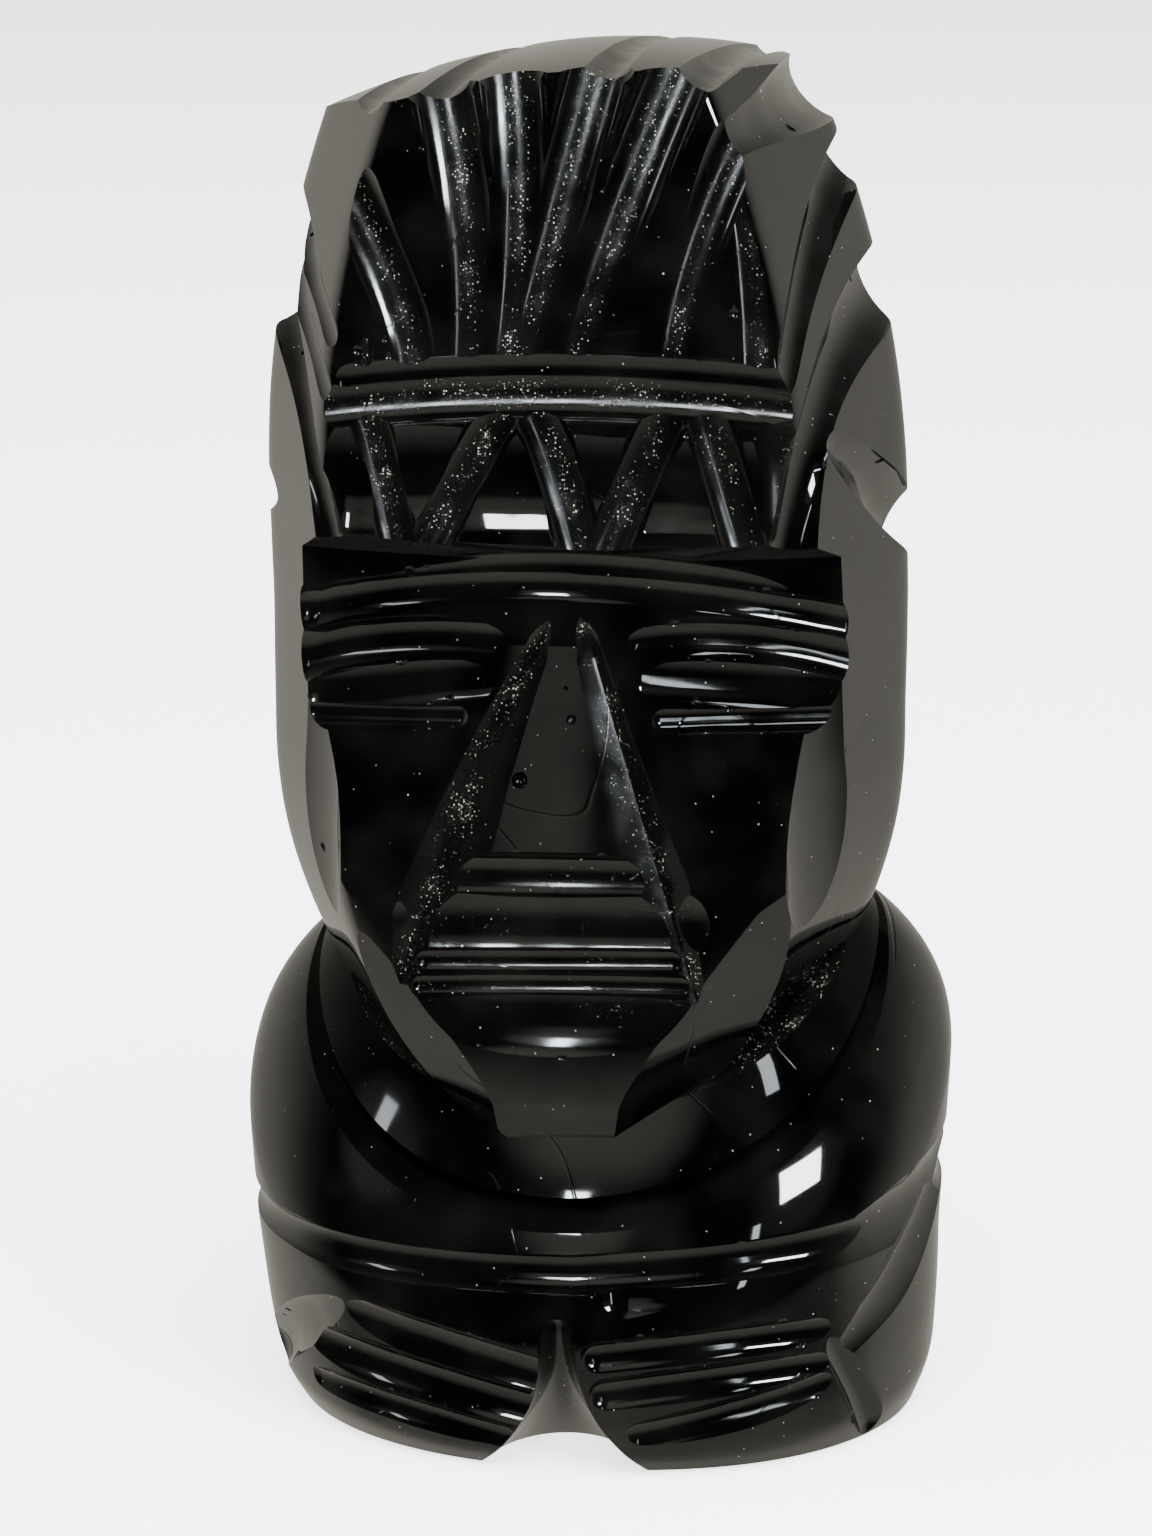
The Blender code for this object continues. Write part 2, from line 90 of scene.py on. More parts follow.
Station = tuple[float, float, float]
FluteRow = tuple[float, Station, Station, Station]
Placed = tuple[np.ndarray, np.ndarray]
Place = Callable[[float, float], Placed]


class Polish(Enum):
    """How well a cut was polished; the value is the share of frost left along its valley."""

    GLASS = 0.0
    FINE = 0.25
    HAZY = 0.55
    DUSTY = 1.0


class Edge(Enum):
    """The edge of a wheel; the value is the half-angle of its V, none for a round one."""

    ROUND = 0.0
    VEE = math.radians(54)

    def reach(self, angles: np.ndarray) -> np.ndarray:
        """Distance of the edge from the wheel's centre, as a share of the wheel's radius.

        By the law of sines a V's is the sine of its half-angle over the sine of the half-angle and the
        angle together, as far as the V goes.

        Args:
            angles: Angles from the valley.

        Returns:
            Shares of the radius, 1 all round for a round edge.
        """
        if self is Edge.ROUND:
            return np.ones_like(angles)
        widest = 2.6
        return np.sin(self.value) / np.sin(np.minimum(self.value + np.abs(angles), widest))


# Flutes on the front of the head: wheel radius, then (x, height, depth) at three stations
FEATHERS: tuple[FluteRow, ...] = (
    (3.8, (-28.5, 143.0, 3.0), (-19.6, 127.0, 1.3), (-17.0, 117.0, 0.8)),
    (4.0, (-15.6, 151.0, 3.6), (-11.9, 134.0, 1.0), (-11.4, 117.3, 0.7)),
    (3.8, (-7.8, 151.5, 3.4), (-6.3, 135.0, 0.8), (-7.4, 117.2, 0.6)),
    (3.8, (2.6, 151.5, 3.4), (-1.9, 134.0, 1.0), (-5.9, 117.8, 0.7)),
    (4.0, (11.4, 151.5, 3.8), (4.9, 135.0, 1.1), (-0.6, 118.2, 0.7)),
    (3.8, (20.8, 149.0, 3.4), (13.0, 133.0, 1.0), (9.3, 117.5, 0.5)),
    (5.0, (16.0, 137.0, 0.0), (17.4, 127.0, 0.6), (18.0, 117.0, 0.4)),
    (1.3, (-21.9, 120.5, 0.0), (-21.9, 118.0, 0.5), (-21.9, 115.5, 0.6)),
)
BAND: FluteRow = (3.1, (-26.0, 113.4, 1.2), (-2.0, 114.9, 1.9), (23.0, 113.7, 0.8))
BAND_WALL: FluteRow = (2.8, (-23.5, 115.8, 0.9), (-2.0, 117.1, 1.3), (21.5, 116.0, 0.9))
BAND_HOLLOW: FluteRow = (16.0, (-24.0, 106.9, 1.2), (-2.0, 107.1, 0.8), (21.0, 106.6, 0.8))
ZIGZAG: tuple[FluteRow, ...] = (
    (2.9, (-21.7, 112.5, 1.2), (-20.0, 106.0, 1.6), (-18.0, 98.0, 1.1)),
    (2.9, (-8.3, 112.5, 1.3), (-12.1, 106.0, 1.8), (-16.2, 98.0, 1.2)),
    (3.1, (-4.3, 112.5, 1.4), (-1.8, 106.0, 1.9), (0.6, 98.0, 1.3)),
    (3.1, (8.5, 112.5, 1.4), (5.6, 106.0, 1.9), (2.2, 98.0, 1.3)),
    (3.1, (12.9, 112.5, 1.4), (15.0, 106.0, 1.9), (17.6, 98.0, 1.3)),
    (9.0, (21.6, 113.0, 0.5), (22.2, 106.0, 1.7), (22.6, 98.0, 0.8)),
)
BROW: tuple[FluteRow, ...] = (
    (2.6, (-22.5, 93.6, 0.0), (-2.5, 96.3, 0.5), (21.0, 93.6, 0.0)),
    (2.6, (-30.0, 90.4, 1.9), (-3.0, 94.3, 0.7), (27.5, 90.0, 0.8)),
    (3.0, (-31.0, 85.4, 2.2), (-20.5, 88.0, 1.4), (-9.0, 88.6, 0.0)),
    (3.0, (28.5, 86.0, 1.4), (16.5, 88.6, 1.3), (5.0, 88.4, 0.0)),
)
EYES: tuple[FluteRow, ...] = (
    (5.0, (-29.0, 82.6, 1.0), (-20.0, 83.9, 1.3), (-11.0, 85.4, 0.0)),
    (5.0, (26.5, 83.8, 1.0), (17.0, 84.6, 1.3), (7.5, 85.6, 0.0)),
    (1.8, (-29.0, 80.0, 1.7), (-21.0, 80.4, 1.6), (-13.5, 80.9, 0.6)),
    (1.8, (26.0, 80.8, 1.7), (17.0, 80.9, 1.6), (8.5, 81.0, 0.4)),
)
NOSE: tuple[FluteRow, ...] = (
    (6.6, (-5.2, 87.6, 0.9), (-12.8, 70.0, 2.3), (-20.4, 48.0, 0.1)),
    (6.6, (0.6, 87.8, 0.9), (6.6, 69.0, 2.3), (14.0, 46.0, 0.1)),
)
MOUTH: tuple[FluteRow, ...] = (
    (3.0, (-12.5, 64.6, 1.6), (-3.2, 64.6, 2.1), (6.5, 64.8, 1.6)),
    (7.0, (-15.5, 59.5, 1.4), (-3.2, 59.6, 1.6), (9.5, 59.8, 1.4)),
    (1.7, (-16.0, 55.2, 1.6), (-3.2, 55.4, 2.1), (9.5, 55.8, 1.8)),
    (1.6, (-16.5, 52.6, 1.3), (-3.2, 52.8, 2.2), (10.5, 53.2, 1.4)),
    (9.0, (-16.5, 51.2, 0.3), (-3.0, 50.3, 1.7), (11.5, 51.4, 0.3)),
)

# Flutes on the sides of the head: wheel radius, then (forward, height, depth)
SIDE_LEFT: tuple[FluteRow, ...] = (
    (2.6, (-7.0, 132.5, -0.3), (10.0, 127.6, 1.3), (27.0, 120.0, 0.8)),
    (2.6, (-7.0, 128.0, -0.3), (10.0, 123.2, 1.2), (27.0, 114.5, 0.8)),
    (3.4, (-9.0, 123.0, -0.3), (15.0, 114.6, 1.8), (27.5, 98.0, 2.4)),
    (3.0, (-11.0, 98.0, -0.3), (3.0, 100.5, 1.0), (15.0, 97.0, -0.2)),
)
SIDE_RIGHT: tuple[FluteRow, ...] = (
    (4.5, (-9.0, 145.5, -0.3), (8.0, 144.0, 1.9), (25.0, 141.5, 0.4)),
    (3.2, (-8.0, 138.6, -0.3), (13.0, 130.0, 2.0), (28.0, 115.0, 0.9)),
    (4.4, (-8.0, 125.0, -0.3), (17.0, 116.0, 2.0), (27.0, 97.5, 3.6)),
    (3.4, (24.0, 113.0, -0.2), (10.0, 103.8, 2.2), (-9.0, 92.5, 0.6)),
)
TEMPLE_LEFT: tuple[FluteRow, ...] = (
    (18.0, (26.0, 84.0, 1.8), (24.0, 74.0, 1.7), (20.0, 58.0, 0.0)),
)
TEMPLE_RIGHT: tuple[FluteRow, ...] = (
    (18.0, (26.0, 85.0, 2.6), (24.0, 74.0, 2.2), (20.0, 58.0, 0.0)),
)
SIDE_BACK: tuple[FluteRow, ...] = (
    (3.4, (-6.0, 134.0, -0.3), (-14.0, 128.0, 1.3), (-25.0, 117.0, 1.0)),
    (3.4, (-6.0, 118.5, -0.3), (-14.0, 112.0, 1.3), (-25.0, 99.0, 1.0)),
)
BACK: tuple[FluteRow, ...] = (
    (4.0, (-16.0, 150.0, 2.0), (-13.0, 130.0, 1.3), (-11.0, 104.0, 0.3)),
    (4.0, (-2.0, 151.0, 2.0), (-2.0, 130.0, 1.3), (-2.0, 104.0, 0.3)),
    (4.0, (12.0, 150.0, 2.0), (9.0, 130.0, 1.3), (7.0, 104.0, 0.3)),
    (4.0, (-26.0, 99.0, 1.4), (-2.0, 99.0, 1.4), (22.0, 99.0, 1.4)),
)

# Flutes over the crown, from front to back: wheel radius, then (x, forward, depth)
CROWN: tuple[FluteRow, ...] = (
    (3.4, (-24.0, 38.0, 1.2), (-22.0, 2.0, 1.0), (-18.0, -34.0, 1.2)),
    (3.2, (-16.0, 38.0, 1.8), (-12.0, 0.0, 0.8), (-8.0, -34.0, 1.2)),
    (3.0, (1.5, 38.0, 1.8), (4.0, 0.0, 0.8), (8.0, -34.0, 1.2)),
    (3.4, (10.5, 38.0, 2.0), (15.0, 0.0, 1.0), (20.0, -34.0, 1.2)),
)

# Flutes on the torso: wheel radius, then (degrees round from the front, height, depth)
HANDS: tuple[FluteRow, ...] = (
    (3.6, (-43, 15.8, 0.0), (-25, 13.9, 1.1), (-7, 11.6, 0.7)),
    (3.2, (-52, 10.6, 0.6), (-29, 9.4, 1.7), (-6, 7.0, 1.2)),
    (2.2, (-54, 5.6, 0.4), (-35, 5.4, 1.2), (-14, 3.8, 0.6)),
    (2.4, (5, 14.0, 1.0), (26, 15.2, 1.2), (46, 15.2, 0.3)),
    (2.4, (6, 9.6, 1.0), (27, 11.0, 1.2), (46, 11.2, 0.3)),
    (2.4, (12, 4.8, 0.5), (30, 6.8, 1.3), (47, 9.0, 0.2)),
)
ARMS: tuple[FluteRow, ...] = (
    (3.4, (-36, 18.6, -1.4), (-54, 12.5, 1.2), (-76, 4.0, 1.0)),
    (2.4, (43, 18.2, -1.2), (51, 10.0, 0.8), (60, 1.0, 0.6)),
    (7.0, (50, 11.5, 0.2), (64, 18.5, 1.0), (84, 28.0, 0.5)),
)
SHOULDERS: tuple[FluteRow, ...] = (
    (5.0, (-84, 23.6, -0.6), (-64, 25.0, -0.3), (-40, 25.8, -1.5)),
    (6.0, (10, 25.0, -1.3), (52, 27.2, -0.2), (94, 31.6, -0.2)),
)

# Flats ground on the jaw: a place on each in mm, then the way it faces, both as (x, forward, height)
JAW_FLATS: tuple[tuple[Station, Station], ...] = (
    ((-2.0, 27.3, 41.4), (0.0, 0.93, -0.37)),
    ((-13.2, 27.0, 45.8), (-0.49, 0.79, -0.37)),
    ((9.1, 27.0, 47.4), (0.55, 0.74, -0.39)),
)


def unit(vectors: np.ndarray) -> np.ndarray:
    """Vectors of length one along the last axis, each divided by its own length."""
    return vectors / np.maximum(np.linalg.norm(vectors, axis=-1, keepdims=True), 1e-12)


def wave(seed: int, where: np.ndarray, length: float) -> np.ndarray:
    """A slow hand-made ripple between -1 and 1.

    Five sines of nearly the same wavelength, with seeded phases and lengths, are averaged.

    Args:
        seed: Picks the phases.
        where: Distances or phases along the ripple, any shape.
        length: Middle wavelength, in the units of where.

    Returns:
        An array of the shape of where.
    """
    draw = np.random.default_rng(seed)
    total = np.zeros_like(where, dtype=float)
    for phase, stretch in zip(draw.uniform(0, 2 * np.pi, 5), draw.uniform(0.6, 1.9, 5)):
        total += np.sin(2 * np.pi * where / (length * stretch) + phase)
    return total / 5


def halve(low: np.ndarray, high: np.ndarray, under: Callable[[np.ndarray], np.ndarray]) -> np.ndarray:
    """Where a test turns from true to false, found by halving.

    Args:
        low: Values at which the test is true.
        high: Values at which it is false.
        under: The test.

    Returns:
        Values just under the turn.
    """
    for _ in range(HALVINGS):
        middle = (low + high) / 2
        below = under(middle)
        low, high = np.where(below, middle, low), np.where(below, high, middle)
    return low


def circles(into: np.ndarray, side: np.ndarray, angles: np.ndarray) -> np.ndarray:
    """Unit circles, one for each row, turned by angles from the direction into the stone to the side."""
    return into[:, None] * np.cos(angles)[:, None] + side[:, None] * np.sin(angles)[:, None]


def ring_of(count: int) -> np.ndarray:
    """Angles of a number of even steps round a full turn."""
    return np.linspace(0, 2 * np.pi, count, endpoint=False)


@dataclass
class Skin:
    """A closed blank or cutter as a grid of points, its rows along it and its columns round it.

    Attributes:
        name: Name of its mesh.
        points: Grid of shape (rows, columns, 3), in metres. The columns close on themselves.
        frost: Frost of the cut surface, 0 to 1.
        lay: Distances in mm along the cut and across from its valley, and the second as a share of
            the way to the rim, shape (rows, columns, 3), or None for a plain surface.
        creases: Columns where two facets meet in a sharp edge.
        looped: Whether the last row joins the first.
        cutter: Whether the stone's surface faces the other way from the skin's.
        cap_frost: Frost of the flat ends.
    """

    name: str
    points: np.ndarray
    frost: float = 0.0
    lay: np.ndarray | None = None
    creases: tuple[int, ...] = ()
    looped: bool = False
    cutter: bool = True
    cap_frost: float = 0.0

    def row_slope(self) -> np.ndarray:
        """Difference of neighbouring points from row to row, one-sided at an open end."""
        if self.looped:
            return np.roll(self.points, -1, 0) - np.roll(self.points, 1, 0)
        return np.gradient(self.points, axis=0) * 2

    def normals(self) -> tuple[np.ndarray, np.ndarray]:
        """Unit normals of the grid, as seen from the columns before and after each point.

        A normal is the cross product of the slope round the columns and the slope along the rows.
        At a crease the slope round the columns is taken on one side only.

        Returns:
            Two grids of normals, for the facets before and after each column.
        """
        ahead = np.roll(self.points, -1, 1) - self.points
        behind = self.points - np.roll(self.points, 1, 1)
        along = self.row_slope()
        smooth = ahead + behind
        before, after = smooth.copy(), smooth.copy()
        creases = list(self.creases)
        before[:, creases] = behind[:, creases]
        after[:, creases] = ahead[:, creases]
        return unit(np.cross(before, along)), unit(np.cross(after, along))

    def quads(self) -> tuple[np.ndarray, np.ndarray]:
        """Quads that join neighbouring rows and columns, and the normal at each of their corners."""
        rows, columns = self.points.shape[:2]
        low = np.arange(rows if self.looped else rows - 1)[:, None]
        left = np.arange(columns)[None, :]
        high, right = (low + 1) % rows, (left + 1) % columns
        quads = np.stack(np.broadcast_arrays(low * columns + left, low * columns + right,
                                             high * columns + right, high * columns + left), -1)
        before, after = (normals.reshape(-1, 3) for normals in self.normals())
        normals = np.stack([after[quads[..., 0]], before[quads[..., 1]],
                            before[quads[..., 2]], after[quads[..., 3]]], -2)
        return quads.reshape(-1, 4), normals.reshape(-1, 3)

    def fans(self, points: np.ndarray) -> tuple[np.ndarray, np.ndarray]:
        """Triangles round the middle of each open end, and the normal at each of their corners."""
        rows, columns = self.points.shape[:2]
        ring, count = np.arange(columns), rows * columns
        first = np.stack([np.full(columns, count), (ring + 1) % columns, ring], -1)
        last = np.stack([np.full(columns, count + 1), ring + count - columns,
                         (ring + 1) % columns + count - columns], -1)
        fans = np.concatenate([first, last])
        flat = np.cross(points[fans[:, 1]] - points[fans[:, 0]], points[fans[:, 2]] - points[fans[:, 0]])
        flat = unit(np.stack([flat[:columns].sum(0), flat[columns:].sum(0)]))
        return fans, np.repeat(flat, columns * 3, 0)

    def mesh(self) -> bpy.types.Mesh:
        """The skin as a mesh with its corner attributes, its faces turned to point outwards.

        Returns:
            A mesh with corner attributes lie, lay and frost.
        """
        quads, normals = self.quads()
        points, corners = self.points.reshape(-1, 3), quads.reshape(-1)
        lay = np.full(points.shape, FAR_FROM_VALLEY) if self.lay is None else self.lay.reshape(-1, 3)
        frost, lay = np.full(len(corners), self.frost), lay[corners]
        totals = np.full(len(quads), 4)
        if not self.looped:
            points = np.concatenate([points, np.stack([self.points[0].mean(0), self.points[-1].mean(0)])])
            fans, flat = self.fans(points)
            corners, normals = np.concatenate([corners, fans.reshape(-1)]), np.concatenate([normals, flat])
            frost = np.concatenate([frost, np.full(fans.size, self.cap_frost)])
            lay = np.concatenate([lay, np.zeros((fans.size, 3))])
            totals = np.concatenate([totals, np.full(len(fans), 3)])
        starts = np.concatenate([[0], np.cumsum(totals)[:-1]])
        if self.volume(points, quads) < 0:
            order = self.flipped(starts, totals)
            corners, frost, lay, normals = corners[order], frost[order], lay[order], -normals[order]
        if self.cutter:
            normals = -normals
        made = bpy.data.meshes.new(self.name)
        made.vertices.add(len(points))
        made.vertices.foreach_set("co", points.astype(np.float32).ravel())
        made.loops.add(len(corners))
        made.loops.foreach_set("vertex_index", corners.astype(np.int32))
        made.polygons.add(len(totals))
        made.polygons.foreach_set("loop_start", starts.astype(np.int32))
        made.update(calc_edges=True)
        for name, values in (("lie", normals), ("frost", frost), ("lay", lay)):
            kind, key = ("FLOAT_VECTOR", "vector") if values.ndim == 2 else ("FLOAT", "value")
            made.attributes.new(name, kind, "CORNER").data.foreach_set(key, values.astype(np.float32).ravel())
        return made

    @staticmethod
    def volume(points: np.ndarray, quads: np.ndarray) -> float:
        """Six times the signed volume under the quads, from the middle of the skin."""
        shifted = points - points.mean(0)
        a, b, c, d = (shifted[quads[:, k]] for k in range(4))
        return float(np.einsum("ij,ij->", np.cross(a, b), c) + np.einsum("ij,ij->", np.cross(a, c), d))

    @staticmethod
    def flipped(starts: np.ndarray, totals: np.ndarray) -> np.ndarray:
        """Corner order that turns every face over: each face's corners run backwards."""
        place = np.arange(totals.sum()) - np.repeat(starts, totals)
        return np.repeat(starts + totals - 1, totals) - place


@dataclass(frozen=True)
class HeadBlank:
    """The wedge-sided head: a front, a back and four side facets, rounded into each other.

    Attributes are lengths and heights in metres, the angle of a side facet from the front, slopes, and
    how sharply the facets meet at the jaw and above it.
    """

    height: float = 148.4 * MM
    half_width: float = 35.25 * MM
    front: float = 27.5 * MM
    back: float = 26 * MM
    side_facet: float = math.radians(68)
    jaw_top: float = 74 * MM
    jaw_drop: float = 44.5 * MM
    chin_top: float = 48 * MM
    chin_drop: float = 34 * MM
    temple: float = 100 * MM
    temple_bend: float = 106.4 * MM
    panel_from: float = 98 * MM
    panel_slope: float = 0.07
    shift: float = 1.8 * MM
    lean_from: float = 90 * MM
    lean: float = 0.025
    sharpness: tuple[int, int] = (16, 34)

    def half_width_at(self, z: np.ndarray | float) -> np.ndarray:
        """Half the width at a height: an ellipse below the jaw line, a wide circle above the temple."""
        z = np.asarray(z, float)
        jaw = np.sqrt(np.maximum(0.02, 1 - (np.maximum(0, self.jaw_top - z) / self.jaw_drop) ** 2))
        return self.half_width * jaw - np.maximum(0, z - self.temple) ** 2 / (2 * self.temple_bend)

    def front_at(self, z: np.ndarray | float) -> np.ndarray:
        """Forward distance at a height: an ellipse at the chin, a slight backward slope on the panel."""
        z = np.asarray(z, float)
        chin = np.sqrt(np.maximum(0.02, 1 - (np.maximum(0, self.chin_top - z) / self.chin_drop) ** 2))
        return self.front * chin - self.panel_slope * np.maximum(0, z - self.panel_from)

    def middle_at(self, z: np.ndarray | float) -> np.ndarray:
        """Where the middle stands at a height: the head leans to the left towards its crown."""
        return -self.shift - self.lean * np.maximum(0, np.asarray(z, float) - self.lean_from)

    def facets(self, z: np.ndarray) -> tuple[np.ndarray, np.ndarray]:
        """Angles of the six facets from the front, and each one's distance at the heights z."""
        reach = self.half_width_at(z) * math.sin(self.side_facet)
        side = self.side_facet
        angles = np.array([0, side, math.pi - side, math.pi, math.pi + side, 2 * math.pi - side])
        far = np.stack([self.front_at(z), reach, reach, np.full_like(reach, self.back), reach, reach], -1)
        return angles, far

    def skin(self) -> Skin:
        """The head's surface.

        At each height the radius is the p-norm of the direction's distance to every facet, with a
        high p on the head and a lower one round the jaw. The turns crowd round the corners. A ripple
        of a few hundredths of a millimetre lets the flats reflect as hand polish does.

        Returns:
            The closed blank.
        """
        z = np.concatenate([np.linspace(30, 62, 40), np.linspace(63, 152, 76)]) * MM
        angles, far = self.facets(z)
        soft, hard = self.sharpness
        sharpness = soft + (hard - soft) * np.clip((z / MM - 50) / 16, 0, 1)
        after, beyond = np.roll(angles, 1), np.roll(far, 1, -1)
        across = far * np.cos(after) - beyond * np.cos(angles)
        forward = np.sin(angles) * beyond - np.sin(after) * far
        turned = np.sin(angles - after)
        corners = np.arctan2(across / turned, forward / turned)
        spread = np.radians([-22, -16, -12, -9, -7, -5.5, -4, -3, -2, -1, 0,
                             1, 2, 3, 4, 5.5, 7, 9, 12, 16, 22])
        turns = corners[:, :, None] + spread[None, None, :] * (soft / sharpness)[:, None, None] ** 0.5
        turns = np.sort(turns.reshape(len(z), -1) % (2 * np.pi), axis=1)
        near = np.maximum(0, np.cos(turns[:, :, None] - angles) / far[:, None, :])
        power = sharpness[:, None]
        radius = (near ** power[..., None]).sum(-1) ** (-1 / power)
        ripple = 0.045 * MM * wave(3, turns * MM_A_RADIAN + z[:, None] / MM * 0.35, 17)
        ripple += 0.03 * MM * wave(5, z[:, None] / MM + 4 * np.sin(turns), 15)
        radius = radius + ripple - 0.04 * MM
        points = np.stack([self.middle_at(z)[:, None] + radius * np.sin(turns),
                           -radius * np.cos(turns), np.broadcast_to(z[:, None], radius.shape)], -1)
        return Skin("head", points, cutter=False)

    def on_front(self, x: float, z: float) -> Placed:
        """Place on the front panel at x and a height in mm, and the way it faces."""
        x, z = x * MM, z * MM
        return np.array([x, -float(self.front_at(z)), z]), np.array([0.0, -1.0, 0.0])

    def on_back(self, x: float, z: float) -> Placed:
        """Place on the back at x and a height in mm, and the way it faces."""
        return np.array([x * MM, self.back, z * MM]), np.array([0.0, 1.0, 0.0])

    def on_side(self, sign: int, forward: float, z: float) -> Placed:
        """Place on a side facet at a forward distance and height in mm, and the way it faces."""
        forward, z = forward * MM, z * MM
        across = float(self.half_width_at(z)) - abs(forward) / math.tan(self.side_facet)
        facing = math.copysign(math.cos(self.side_facet), forward)
        place = np.array([float(self.middle_at(z)) + sign * across, -forward, z])
        return place, np.array([sign * math.sin(self.side_facet), -facing, 0.0])


@dataclass(frozen=True)
class FaceCut:
    """Everything in front of the step under the band, the bent brow and the nose ridge.

    Attributes:
        profile: The face in side view as (forward, height) in mm, from the band to the chin.
        bend: Radius in mm on which the brow falls back to each side.
        shift: Where the middle of the face stands, in metres.
    """

    profile: tuple[tuple[float, float], ...] = ((40, 105.8), (22.5, 97.2), (22.0, 88.0), (40, 19.3))
    bend: float = 80.0
    shift: float = -1.8 * MM

    def profile_at(self, x: np.ndarray) -> np.ndarray:
        """The profile in metres at each x, its two brow points set back by x squared over twice the bend."""
        back = ((x - self.shift) / MM) ** 2 / (2 * self.bend)
        base = np.array(self.profile)
        points = np.broadcast_to(base, (*np.shape(x), 4, 2)).copy()
        points[..., 1:3, 0] -= np.asarray(back)[..., None]
        return points * MM

    def forward(self, x: float, z: float, head: HeadBlank) -> float:
        """Forward distance of the face at a place in front view."""
        profile = self.profile_at(np.asarray(x))
        near = float(np.interp(-z, -profile[:, 1], profile[:, 0]))
        inside = profile[-1, 1] <= z <= profile[0, 1]
        return min(float(head.front_at(z)), near) if inside else float(head.front_at(z))

    def skin(self) -> Skin:
        """The cutter: the profile, resampled finely and carried across the face.

        Returns:
            The closed cutter, with a crease at each corner of the profile.
        """
        x = np.linspace(-45, 45, 91) * MM
        profile = self.profile_at(x)
        sides = ((0, 1, 10), (1, 2, 12), (2, 3, 50), (3, 0, 4))
        strips, creases = [], []
        for start, end, steps in sides:
            share = np.arange(steps)[None, :, None] / steps
            creases.append(sum(strip.shape[1] for strip in strips))
            strips.append(profile[:, None, start] * (1 - share) + profile[:, None, end] * share)
        flat = np.concatenate(strips, axis=1)
        forward = flat[..., 0] + 0.03 * MM * wave(11, flat[..., 1] / MM + x[:, None] / MM * 0.6, 16)
        points = np.stack([np.broadcast_to(x[:, None], forward.shape), -forward, flat[..., 1]], -1)
        return Skin("face cut", points, creases=tuple(creases))


